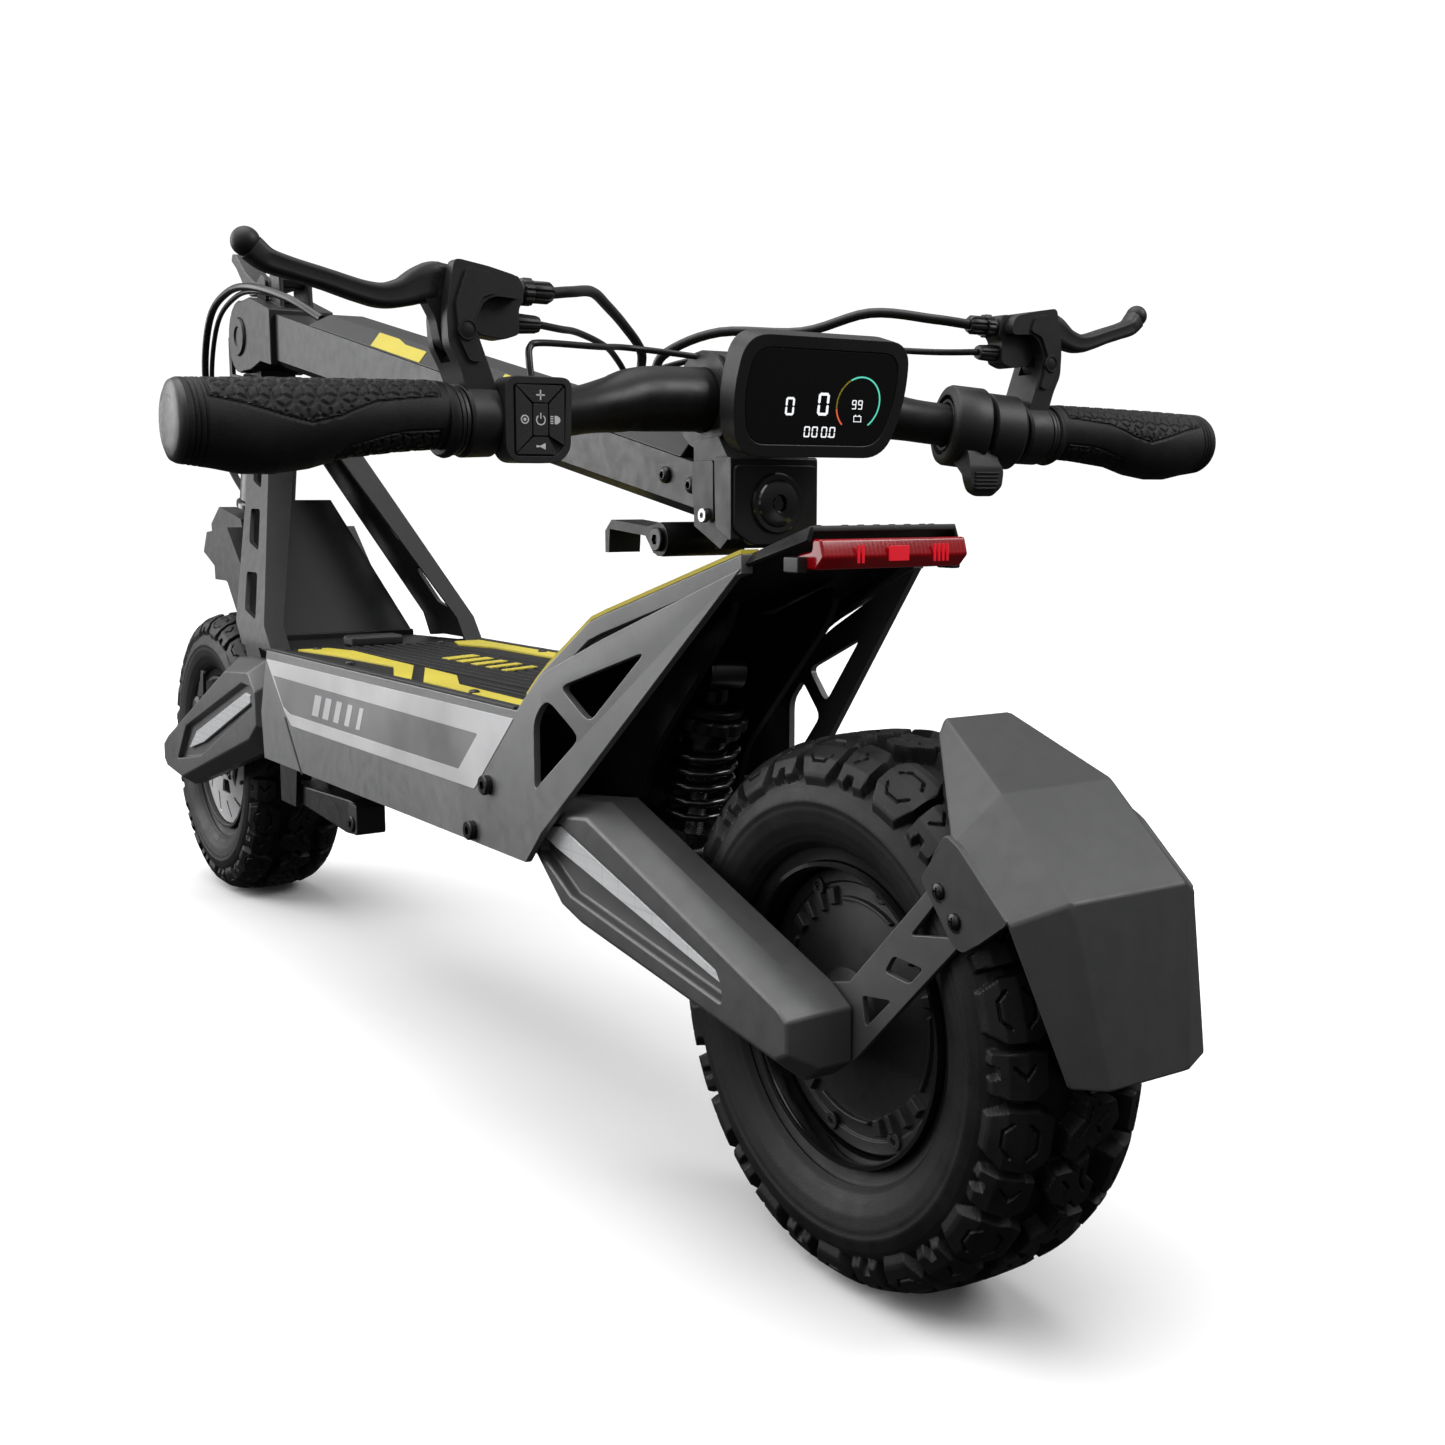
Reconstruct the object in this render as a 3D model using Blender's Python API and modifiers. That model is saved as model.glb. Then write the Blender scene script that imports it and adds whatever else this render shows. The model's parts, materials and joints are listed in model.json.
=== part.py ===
"""Folding electric kick scooter, modelled as separate pieces, shown folded: the stem lies back over the deck.

Frame: +X is the rider's left, +Y is the rear, +Z is up, metres. Dimensions are written with the rear axle at Y = 0
and the ground at Z = 0; the datum empty then moves everything so that the origin is the middle of the base.
"""
import math

import bmesh
import bpy
from mathutils import Matrix, Vector

# ---------------------------------------------------------------- driving dimensions (m)
DATUM_Y = 0.4455            # from the rear axle frame to the middle of the length
GAP = 0.0003                # clearance between touching pieces
TYRE_R = 0.1275             # 10 x 3 inch tyre
TYRE_W = 0.042              # half width
BEAD_R = 0.0705
WHEELBASE = 0.920
FRONT_Y = -WHEELBASE
AXLE_R = 0.008
DECK_X = 0.085              # outer face of a side plate
PLATE_T = 0.004
DECK_Z = 0.2475             # top of the deck plate
DECK_BOTTOM = 0.166
TOE_Y = -0.187              # the side plates turn inwards behind this line
TOE = 0.215                 # by this slope
RAKE = math.radians(14.0)   # steering axis, top leaning back
HEAD_P = Vector((0, -0.860, 0.365))
HEAD_A = Vector((0, math.sin(RAKE), math.cos(RAKE)))
FOLD_P = Vector((0, -0.838, 0.493))
ARM_IN, ARM_RIDGE, ARM_OUT = 0.047, 0.064, 0.0775
REAR_PIVOT = (-0.255, 0.187)
FRONT_PIVOT = (-0.716, 0.187)
SHOCK_TOP = (-0.147, 0.270)
SHOCK_LOW = (-0.1765, 0.166)
BAR_Y, BAR_Z, BAR_R = -0.125, 0.408, 0.0159
BORE = 0.0118                # clearance bore on the 22.2 mm bar
HOOK_P = (-0.164, 0.3385)
STAND_P = (-0.618, 0.139)

for o in list(bpy.data.objects):
    bpy.data.objects.remove(o, do_unlink=True)

ASSEMBLY = bpy.data.collections.new("electric_kick_scooter")
CUTTERS = bpy.data.collections.new("cutters")
for c in (ASSEMBLY, CUTTERS):
    bpy.context.scene.collection.children.link(c)
DATUM = bpy.data.objects.new("datum", None)
DATUM.location = (0, DATUM_Y, 0)
ASSEMBLY.objects.link(DATUM)


# ---------------------------------------------------------------- helpers
def finish(name, colour, rough=0.45, metal=0.0):
    m = bpy.data.materials.new(name)
    m.use_nodes = True
    b = m.node_tree.nodes["Principled BSDF"]
    b.inputs["Base Color"].default_value = (*colour, 1)
    b.inputs["Roughness"].default_value = rough
    b.inputs["Metallic"].default_value = metal
    return m


def temp(mesh, name="work"):
    o = bpy.data.objects.new(name, mesh)
    o.hide_render = True
    o.display_type = "WIRE"
    CUTTERS.objects.link(o)
    return o


def evaluated(o):
    """The evaluated mesh of an object, in world space, welded; the object is removed."""
    bpy.context.view_layer.update()
    dg = bpy.context.evaluated_depsgraph_get()
    me = bpy.data.meshes.new_from_object(o.evaluated_get(dg))
    me.transform(o.matrix_world)
    bpy.data.objects.remove(o, do_unlink=True)
    bm = bmesh.new()
    bm.from_mesh(me)
    bmesh.ops.remove_doubles(bm, verts=bm.verts, dist=1e-6)
    bmesh.ops.dissolve_degenerate(bm, edges=bm.edges, dist=1e-7)
    bmesh.ops.recalc_face_normals(bm, faces=bm.faces)
    bm.to_mesh(me)
    bm.free()
    return me


def joined(me, others, operation="UNION"):
    """Boolean of a mesh with each of the others in turn."""
    for other in others:
        a, b = temp(me), temp(other)
        md = a.modifiers.new("join", "BOOLEAN")
        md.operation = operation
        md.solver = "EXACT"
        md.object = b
        me = evaluated(a)
        bpy.data.objects.remove(b, do_unlink=True)
    return me


def piece(name, me, colour, rough=0.45, metal=0.0, origin=(0, 0, 0), bevel=0.0, segments=1, angle=35):
    """One named piece: its origin at origin, its own material, and optional rounded edges."""
    me.name = name
    me.transform(Matrix.Translation(-Vector(origin)))
    me.materials.clear()
    me.materials.append(finish(name, colour, rough, metal))
    me.shade_smooth()
    me.set_sharp_from_angle(angle=math.radians(angle))
    o = bpy.data.objects.new(name, me)
    ASSEMBLY.objects.link(o)
    o.parent = DATUM
    o.location = origin
    if bevel:
        md = o.modifiers.new("edges", "BEVEL")
        md.width = bevel
        md.segments = segments
        md.limit_method = "ANGLE"
        md.angle_limit = math.radians(40)
    return o


def mirrored(me):
    """A copy of a mesh mirrored across X = 0."""
    me = me.copy()
    me.transform(Matrix.Scale(-1, 4, (1, 0, 0)))
    me.flip_normals()
    return me


def box(x0, x1, y0, y1, z0, z1, bevel=0.0):
    bm = bmesh.new()
    bmesh.ops.create_cube(bm, size=1)
    bmesh.ops.scale(bm, vec=(x1 - x0, y1 - y0, z1 - z0), verts=bm.verts)
    bmesh.ops.translate(bm, vec=((x0 + x1) / 2, (y0 + y1) / 2, (z0 + z1) / 2), verts=bm.verts)
    if bevel:
        bmesh.ops.bevel(bm, geom=bm.edges[:], offset=bevel, segments=2, affect="EDGES", profile=0.5)
    me = bpy.data.meshes.new("box")
    bm.to_mesh(me)
    bm.free()
    return me


def cylinder(p, axis, r, length, steps=16, r2=None):
    """A capped cylinder or cone centred at p along axis."""
    bm = bmesh.new()
    bmesh.ops.create_cone(bm, cap_ends=True, segments=steps, radius1=r, radius2=r if r2 is None else r2, depth=length)
    q = Vector((0, 0, 1)).rotation_difference(Vector(axis).normalized())
    bmesh.ops.rotate(bm, cent=(0, 0, 0), matrix=q.to_matrix(), verts=bm.verts)
    bmesh.ops.translate(bm, vec=p, verts=bm.verts)
    me = bpy.data.meshes.new("cylinder")
    bm.to_mesh(me)
    bm.free()
    return me


def rounded(points, radius, steps=3):
    """A polygon with each corner replaced by an arc."""
    out = []
    n = len(points)
    for i in range(n):
        p, a, b = (Vector(points[k % n]) for k in (i, i - 1, i + 1))
        u, v = (a - p), (b - p)
        d = min(radius, 0.45 * u.length, 0.45 * v.length)
        s, e = p + u.normalized() * d, p + v.normalized() * d
        for k in range(steps + 1):
            t = k / steps
            out.append(tuple((1 - t) ** 2 * s + 2 * t * (1 - t) * p + t * t * e))
    return out


def outline(points, x0, x1, holes=()):
    """A flat outline in the Y-Z plane with holes, extruded along X from x0 to x1."""
    cu = bpy.data.curves.new("outline", "CURVE")
    cu.dimensions = "2D"
    cu.fill_mode = "BOTH"
    cu.extrude = (x1 - x0) / 2
    for loop in (points, *holes):
        sp = cu.splines.new("POLY")
        sp.points.add(len(loop) - 1)
        for k, (y, z) in enumerate(loop):
            sp.points[k].co = (y, z, 0, 1)
        sp.use_cyclic_u = True
    o = bpy.data.objects.new("outline", cu)
    CUTTERS.objects.link(o)
    o.matrix_world = Matrix(((0, 0, 1, (x0 + x1) / 2), (1, 0, 0, 0), (0, 1, 0, 0), (0, 0, 0, 1)))
    return evaluated(o)


def tube(points, radius, res=2, cyclic=False):
    """A round bar along points; radius may be a list, one for each point."""
    cu = bpy.data.curves.new("tube", "CURVE")
    cu.dimensions = "3D"
    rs = radius if isinstance(radius, (list, tuple)) else [radius] * len(points)
    cu.bevel_depth = 1.0
    cu.bevel_resolution = res
    cu.use_fill_caps = True
    sp = cu.splines.new("POLY")
    sp.points.add(len(points) - 1)
    for k, p in enumerate(points):
        sp.points[k].co = (*p, 1)
        sp.points[k].radius = rs[k]
    o = bpy.data.objects.new("tube", cu)
    CUTTERS.objects.link(o)
    return evaluated(o)


def smooth(points, n):
    """n points on a Catmull-Rom curve through the given points."""
    pts = [Vector(p) for p in points]
    pts = [2 * pts[0] - pts[1]] + pts + [2 * pts[-1] - pts[-2]]
    out = []
    for k in range(n):
        t = k / (n - 1) * (len(pts) - 3)
        i = min(int(t), len(pts) - 4)
        t -= i
        a, b, c, d = pts[i:i + 4]
        out.append(0.5 * ((2 * b) + (c - a) * t + (2 * a - 5 * b + 4 * c - d) * t * t + (3 * b - a - 3 * c + d) * t ** 3))
    return out


def turned(profile, centre, steps, closed=True):
    """A profile of (x, r) turned about the X axis through centre."""
    me = bpy.data.meshes.new("turned")
    n = len(profile)
    me.from_pydata([(x, 0, r) for x, r in profile], [(i, (i + 1) % n) for i in range(n if closed else n - 1)], [])
    o = temp(me)
    md = o.modifiers.new("turn", "SCREW")
    md.axis = "X"
    md.steps = md.render_steps = steps
    md.use_merge_vertices = True
    md.merge_threshold = 1e-5
    o.location = centre
    return evaluated(o)


def loft(sections, closed_ring=False):
    """A skin through rings of the same number of points, with flat ends."""
    bm = bmesh.new()
    rings = [[bm.verts.new(p) for p in s] for s in sections]
    n = len(rings[0])
    for a, b in zip(rings, rings[1:]):
        for i in range(n):
            bm.faces.new((a[i], a[(i + 1) % n], b[(i + 1) % n], b[i]))
    bm.faces.new(rings[0][::-1])
    bm.faces.new(rings[-1])
    bmesh.ops.recalc_face_normals(bm, faces=bm.faces)
    bmesh.ops.triangulate(bm, faces=[f for f in bm.faces if len(f.verts) > 4])
    me = bpy.data.meshes.new("loft")
    bm.to_mesh(me)
    bm.free()
    return me


def sheet(rows, thickness, offset=-1.0):
    """An open quad grid, one list of points a row, made solid."""
    me = bpy.data.meshes.new("sheet")
    n = len(rows[0])
    faces = [(r * n + i, r * n + i + 1, (r + 1) * n + i + 1, (r + 1) * n + i)
             for r in range(len(rows) - 1) for i in range(n - 1)]
    me.from_pydata([p for row in rows for p in row], [], faces)
    o = temp(me)
    md = o.modifiers.new("wall", "SOLIDIFY")
    md.thickness = thickness
    md.offset = offset
    md.use_even_offset = True
    return evaluated(o)


def toe_in(me, y0=TOE_Y, slope=TOE):
    """Bend a plate inwards behind the line Y = y0."""
    bm = bmesh.new()
    bm.from_mesh(me)
    bmesh.ops.bisect_plane(bm, geom=bm.verts[:] + bm.edges[:] + bm.faces[:], plane_co=(0, y0, 0), plane_no=(0, 1, 0))
    for v in bm.verts:
        if v.co.y > y0:
            v.co.x -= slope * (v.co.y - y0)
    bmesh.ops.triangulate(bm, faces=bm.faces)
    bm.to_mesh(me)
    bm.free()
    return me


def half_x(y, w=DECK_X):
    return w - TOE * max(0.0, y - TOE_Y)


def at_y(pairs, y):
    """Piecewise linear value at y from (y, value) pairs."""
    for (a, u), (b, v) in zip(pairs, pairs[1:]):
        if y <= b or (b, v) == pairs[-1]:
            return u + (v - u) * (y - a) / (b - a)


CHARCOAL, BLACK, GREY = (0.06, 0.06, 0.065), (0.012, 0.012, 0.013), (0.22, 0.22, 0.23)

# ---------------------------------------------------------------- chassis
PLATE = [(-0.622, 0.2474), (-0.640, 0.200), (-0.636, 0.165), (-0.293, 0.166), (-0.206, 0.166), (-0.046, 0.3285),
         (-0.139, 0.2905), (-0.183, 0.2705), (-0.213, 0.2474)]
WINDOWS = [[(-0.171, 0.2640), (-0.108, 0.2865), (-0.149, 0.2475)],
           [(-0.181, 0.2570), (-0.194, 0.2440), (-0.194, 0.2060), (-0.156, 0.2390)]]
plate = toe_in(outline(PLATE, DECK_X - PLATE_T, DECK_X, [rounded(w, 0.006) for w in WINDOWS]))
right_plate = mirrored(plate)
piece("side_plate_left", plate, GREY, 0.4, 0.6)
piece("side_plate_right", right_plate, GREY, 0.4, 0.6)

INNER = DECK_X - PLATE_T - GAP
tray = box(-INNER, INNER, -0.632, -0.292, 0.1680, DECK_Z - 0.004 - GAP)
tray = joined(tray, [box(-INNER + 0.0025, INNER - 0.0025, -0.6295, -0.2945, 0.1705, 0.30)], "DIFFERENCE")
# the sill in front of the deck plate, which the neck posts stand on
tray = joined(tray, [box(-INNER, INNER, -0.6320, -0.6045, 0.2380, DECK_Z)])
# the kickstand's clevis is welded under the tray
stand_bracket = box(0.046, 0.074, -0.634, -0.596, 0.1640, 0.1690)
stand_bracket = joined(stand_bracket, [outline([(-0.634, 0.166), (-0.634, 0.132), (-0.602, 0.132), (-0.596, 0.166)], x, x + 0.004)
                                       for x in (0.046, 0.070)])
tray = joined(tray, [stand_bracket])
piece("deck_tub", tray, BLACK, 0.6, 0.2)
piece("deck_plate", box(-INNER, INNER, -0.604, -0.216, DECK_Z - 0.004, DECK_Z), BLACK, 0.8)
piece("battery_pack", box(-0.073, 0.073, -0.620, -0.380, 0.1710, 0.2365, 0.003), (0.02, 0.05, 0.12), 0.5)

# kick plate: a channel whose top climbs from the deck and narrows to the rear, with skirts leaning out to the side plates
KICK_TOP = [(-0.2155, 0.2480), (-0.183, 0.2735), (-0.148, 0.3005), (-0.046, 0.3362), (-0.010, 0.3485)]
KICK_SKIRT = [(-0.2155, 0.2480 - 0.003), (-0.183, 0.2720), (-0.139, 0.2930), (-0.046, 0.3306), (-0.010, 0.3420)]
rows = []
for k, (y, z) in enumerate(KICK_TOP):
    ys, zs = KICK_SKIRT[k]
    top = half_x(y) - (0.0045, 0.006, 0.009, 0.0085, 0.005)[k]
    out = half_x(ys) - (0.0045, 0.0035, 0.0025, 0.0025, 0.0025)[k]
    rows.append([(-out, ys, zs), (-top, y, z), (top, y, z), (out, ys, zs)])
kick = sheet(rows, 0.0028)
piece("kick_plate", kick, CHARCOAL, 0.5, 0.3)

# the two arched ribs and the wall between them, which carry the shock's upper eye
RIB = [(-0.214, 0.196), (-0.200, 0.196), (-0.172, 0.200), (-0.162, 0.226), (-0.150, 0.238), (-0.092, 0.296), (-0.084, 0.310),
       (-0.090, 0.3160), (-0.135, 0.3000), (-0.176, 0.2715), (-0.2105, 0.2420)]
RIB_X = 0.0305
ribs = [outline(rounded(RIB, 0.006, 2), s - 0.002, s + 0.002) for s in (RIB_X, -RIB_X)]
WALL = [(-0.2135, 0.197), (-0.2095, 0.197), (-0.2060, 0.2395), (-0.172, 0.2680), (-0.134, 0.2945), (-0.136, 0.2990), (-0.176, 0.2710), (-0.2100, 0.2415)]
mount = joined(outline(WALL, -RIB_X, RIB_X), ribs)
piece("shock_mount", mount, CHARCOAL, 0.5, 0.4)


LENS = ((-0.020, 0.3290), (-0.006, 0.3290), (-0.0005, 0.3345), (-0.0030, 0.3425), (-0.0090, 0.3425), (-0.0094, 0.3372), (-0.020, 0.3355))
piece("tail_light", outline(LENS, -0.042, 0.042), (0.5, 0.01, 0.02), 0.2)

# neck: two C-section posts, leaning in and forward, and the panel between their front edges
def post_ring(z):
    t = z - 0.265
    yr = -0.6265 - t * 0.8607
    yf = yr - (0.066 - t * 0.13)
    xo = min(0.0848, 0.085 - t * 0.355)
    f = min(0.0145 + max(0, t) * 0.05, xo - 0.0015)
    w = 0.0035
    return [(xo, yr, z), (xo, yf, z), (xo - f, yf, z), (xo - f, yf + w, z), (xo - w, yf + w, z), (xo - w, yr - w, z),
            (xo - f, yr - w, z), (xo - f, yr, z)]


posts = loft([post_ring(z) for z in (DECK_Z + 0.0004, 0.265, 0.3475, 0.430)])
cuts = []
for z0, z1 in ((0.268, 0.302), (0.318, 0.350), (0.366, 0.398)):
    def ye(z, u):
        t = z - 0.265
        yr = -0.6265 - t * 0.8607
        d = 0.066 - t * 0.13
        return yr - d * u
    cuts.append(outline(rounded([(ye(z0, 0.30), z0), (ye(z1, 0.30), z1), (ye(z1, 0.72), z1), (ye(z0, 0.78), z0 + 0.006)], 0.004, 2), 0.02, 0.12))
posts = joined(posts, cuts, "DIFFERENCE")
right_post = mirrored(posts)
piece("neck_post_left", posts, CHARCOAL, 0.45, 0.6)
piece("neck_post_right", right_post, CHARCOAL, 0.45, 0.6)
PANEL_TOP, PANEL_LOW = (0.0235, -0.7720, 0.3560), (0.0640, -0.7020, 0.2485)
panel = sheet([[(-PANEL_LOW[0], *PANEL_LOW[1:]), (PANEL_LOW[0], *PANEL_LOW[1:])],
               [(-PANEL_TOP[0], *PANEL_TOP[1:]), (PANEL_TOP[0], *PANEL_TOP[1:])]], 0.003, 0.0)
piece("neck_panel", panel, CHARCOAL, 0.5, 0.4)


def on_axis(z):
    return HEAD_P + HEAD_A * ((z - HEAD_P.z) / HEAD_A.z)


def ringed(z0, z1, ro, ri, steps=24):
    """A sleeve round the steering axis between two heights, its ends square to the axis."""
    a, b = on_axis(z0), on_axis(z1)
    c, h = (a + b) / 2, (b - a).length
    sleeve = cylinder(c, HEAD_A, ro, h, steps)
    return joined(sleeve, [cylinder(c, HEAD_A, ri, h + 0.02, steps)], "DIFFERENCE") if ri else sleeve


piece("head_tube", ringed(0.3560, 0.4470, 0.0235, 0.0165), GREY, 0.35, 0.6)

# kickstand
leg = [(-0.628, 0.1415), (-0.618, 0.1485), (-0.600, 0.1480), (-0.505, 0.1520), (-0.490, 0.1500), (-0.490, 0.1290), (-0.512, 0.1270),
       (-0.600, 0.1330), (-0.618, 0.1295), (-0.628, 0.1350)]
piece("kickstand_leg", outline(rounded(leg, 0.003, 2), 0.0505, 0.0695), CHARCOAL, 0.4, 0.7, origin=(0.060, *STAND_P))

# ---------------------------------------------------------------- rear arm
ARM_RIDGE_P = [(-0.150, 0.2063), (0.016, 0.1500), (0.030, 0.1420), (0.030, 0.1166), (0.018, 0.1080), (-0.165, 0.1340), (-0.190, 0.1420),
               (-0.222, 0.1640), (-0.276, 0.1740), (-0.276, 0.1990), (-0.214, 0.1985)]
ARM_OUT_P = [(-0.152, 0.1980), (0.016, 0.1423), (0.0225, 0.1380), (0.0225, 0.1235), (0.014, 0.1190), (-0.160, 0.1425), (-0.180, 0.1480),
             (-0.208, 0.1700), (-0.262, 0.1800), (-0.262, 0.1930), (-0.208, 0.1920)]


def arm(dy=0.0, flip=False, x0=ARM_IN, pivot_r=0.0145):
    """A faceted arm from its inner face to its narrower outer face; flip turns it end for end."""
    def place(p):
        return (-p[0] + dy, p[1]) if flip else (p[0] + dy, p[1])
    rings = [(x0, ARM_RIDGE_P), (ARM_RIDGE, ARM_RIDGE_P), (ARM_OUT, ARM_OUT_P)]
    me = loft([[(x, *place(p)) for p in ring] for x, ring in rings])
    return me


rear_axle = cylinder((0, 0, TYRE_R), (1, 0, 0), AXLE_R, 0.122, 16)
arm_l = joined(arm(), [cylinder((0.05, 0, TYRE_R), (1, 0, 0), AXLE_R + GAP, 0.024, 16),
                       ], "DIFFERENCE")
arm_r = mirrored(arm_l)
piece("rear_arm_left", arm_l, CHARCOAL, 0.45, 0.5, origin=(0, *REAR_PIVOT))
piece("rear_arm_right", arm_r, CHARCOAL, 0.45, 0.5, origin=(0, *REAR_PIVOT))
bx = ARM_IN - GAP
bridge = cylinder((0, *REAR_PIVOT), (1, 0, 0), 0.012, 2 * bx, 16)
bridge = joined(bridge, [outline([(-0.262, 0.1850), (-0.252, 0.1940), (-0.214, 0.1760), (-0.146, 0.1480), (-0.146, 0.1370), (-0.170, 0.1370)], -bx, bx)]
                + [outline([(-0.192, 0.1450), (-0.160, 0.1400), (-0.1655, 0.1700), (-0.1720, 0.1725), (-0.1810, 0.1725), (-0.1870, 0.1700)], x, x + 0.005)
                   for x in (0.0125, -0.0175)])
bridge = joined(bridge, [outline([(-0.1935, 0.1535), (-0.1595, 0.1535), (-0.1595, 0.190), (-0.1935, 0.190)], -0.0125, 0.0125)], "DIFFERENCE")
piece("rear_arm_bridge", bridge, CHARCOAL, 0.5, 0.6, origin=(0, *REAR_PIVOT))
piece("rear_axle", rear_axle, (0.5, 0.5, 0.5), 0.3, 1.0, origin=(0, *REAR_PIVOT))

bracket = outline([(-0.016, 0.1405), (0.026, 0.1520), (0.0830, 0.2100), (0.1020, 0.1900), (0.030, 0.1175), (-0.004, 0.1140), (-0.016, 0.1180)],
                  0.0432, 0.0432 + 0.003,
                  [rounded([(0.035, 0.1480), (0.0545, 0.1508), (0.0375, 0.1345)], 0.002, 2),
                   rounded([(0.0555, 0.1705), (0.0745, 0.1695), (0.0660, 0.1610), (0.0500, 0.1625)], 0.002, 2),
                   rounded([(0.0815, 0.1985), (0.0925, 0.1868), (0.0665, 0.1820)], 0.002, 2)])
bracket = joined(bracket, [cylinder((0.045, 0, TYRE_R), (1, 0, 0), AXLE_R + GAP, 0.012, 16)], "DIFFERENCE")
right_bracket = mirrored(bracket)
piece("fender_bracket_left", bracket, CHARCOAL, 0.45, 0.7, origin=(0, *REAR_PIVOT))
piece("fender_bracket_right", right_bracket, CHARCOAL, 0.45, 0.7, origin=(0, *REAR_PIVOT))

# rear mudguard: a faceted hood with four cross creases and two long ones
HOOD = [((0.0180, 0.0533, 0.2691), (0.0240, 0.0560, 0.2630)), ((0.0311, 0.1012, 0.2455), (0.0520, 0.0965, 0.2270)),
        ((0.0319, 0.1427, 0.2089), (0.0520, 0.1300, 0.2005)), ((0.0213, 0.1562, 0.1374), (0.0380, 0.1500, 0.1400))]
rows = [[(-b[0], b[1], b[2]), (-a[0], a[1], a[2]), a, b] for a, b in HOOD]
hood = sheet(rows, 0.0028)
piece("rear_mudguard", hood, CHARCOAL, 0.5, 0.1, origin=(0, *REAR_PIVOT))

# ---------------------------------------------------------------- wheels
TYRE_SECTION = [(-0.0290, BEAD_R), (-0.0355, 0.0760), (-0.0405, 0.0900), (-TYRE_W, 0.1040), (-0.0385, 0.1185), (-0.0250, TYRE_R)]
TYRE_SECTION += [(-x, r) for x, r in TYRE_SECTION[::-1]]
TYRE_SECTION += [(0.0230, 0.0715), (0.0300, 0.0800), (0.0350, 0.0980), (0.0230, 0.1170), (-0.0230, 0.1170), (-0.0350, 0.0980),
                 (-0.0300, 0.0800), (-0.0230, 0.0715)]
HUB_SECTION = [(-0.0240, AXLE_R + GAP), (-0.0240, 0.0560), (-0.0200, 0.0660), (-0.0335, 0.0668), (-0.0335, BEAD_R - 0.0005),
               (0.0335, BEAD_R - 0.0005), (0.0335, 0.0668), (0.0200, 0.0660), (0.0240, 0.0560), (0.0240, AXLE_R + GAP)]
TYRE_STEPS = 40
piece("rear_tyre", turned(TYRE_SECTION, (0, 0, TYRE_R), TYRE_STEPS), BLACK, 0.8, origin=(0, 0, TYRE_R))
piece("rear_hub_motor", turned(HUB_SECTION, (0, 0, TYRE_R), 28), CHARCOAL, 0.4, 0.8, origin=(0, 0, TYRE_R))
piece("front_tyre", turned(TYRE_SECTION, (0, FRONT_Y, TYRE_R), TYRE_STEPS), BLACK, 0.8, origin=(0, FRONT_Y, TYRE_R))
RIM_SECTION = [(-0.0300, AXLE_R + GAP), (-0.0300, 0.0180), (-0.0100, 0.0260), (-0.0100, 0.0580), (-0.0200, 0.0655), (-0.0335, 0.0668),
               (-0.0335, BEAD_R - 0.0005), (0.0335, BEAD_R - 0.0005), (0.0335, 0.0668), (0.0200, 0.0655), (0.0100, 0.0580), (0.0100, 0.0260),
               (0.0270, 0.0180), (0.0270, AXLE_R + GAP)]
piece("front_rim", turned(RIM_SECTION, (0, FRONT_Y, TYRE_R), 28), CHARCOAL, 0.4, 0.8, origin=(0, FRONT_Y, TYRE_R))
disc = turned([(0.0273, AXLE_R + GAP), (0.0295, AXLE_R + GAP), (0.0295, 0.0650), (0.0273, 0.0650)][::-1], (0, FRONT_Y, TYRE_R), 32)
piece("brake_disc", disc, (0.7, 0.7, 0.7), 0.25, 1.0, origin=(0, FRONT_Y, TYRE_R))

# ---------------------------------------------------------------- rear shock
top_p, low_p = Vector((0, *SHOCK_TOP)), Vector((0, *SHOCK_LOW))
sd = (low_p - top_p).normalized()
side = Vector((1, 0, 0))
body = joined(cylinder(top_p, side, 0.0115, 0.022, 20), [cylinder(top_p + sd * 0.020, sd, 0.0085, 0.030, 20),
              cylinder(top_p + sd * 0.030, sd, 0.0175, 0.009, 24), cylinder(top_p + sd * 0.046, sd, 0.0125, 0.034, 20)])
body = joined(body, [cylinder(top_p, side, 0.0045 + GAP, 0.05, 12), cylinder(top_p + sd * 0.060, sd, 0.0065, 0.050, 16)], "DIFFERENCE")
piece("shock_body", body, CHARCOAL, 0.35, 0.7, origin=top_p)
rod = joined(cylinder(low_p, side, 0.0085, 0.022, 16), [cylinder(low_p - sd * 0.0170, sd, 0.0175, 0.006, 24), cylinder(low_p - sd * 0.0305, sd, 0.0058, 0.053, 16)])
piece("shock_rod", rod, (0.5, 0.5, 0.5), 0.3, 1.0, origin=low_p)
turns, per = 5.5, 10
s0, s1 = 0.0350, (low_p - top_p).length - 0.0205
e1 = side
e2 = sd.cross(side)
coil = []
for k in range(int(turns * per) + 1):
    t = k / (turns * per)
    a = 2 * math.pi * turns * t
    coil.append(top_p + sd * (s0 + 0.0028 + (s1 - s0 - 0.0056) * t) + (e1 * math.cos(a) + e2 * math.sin(a)) * 0.0170)
piece("shock_spring", tube(coil, 0.0023, 1), BLACK, 0.15, 0.3, origin=top_p)

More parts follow.
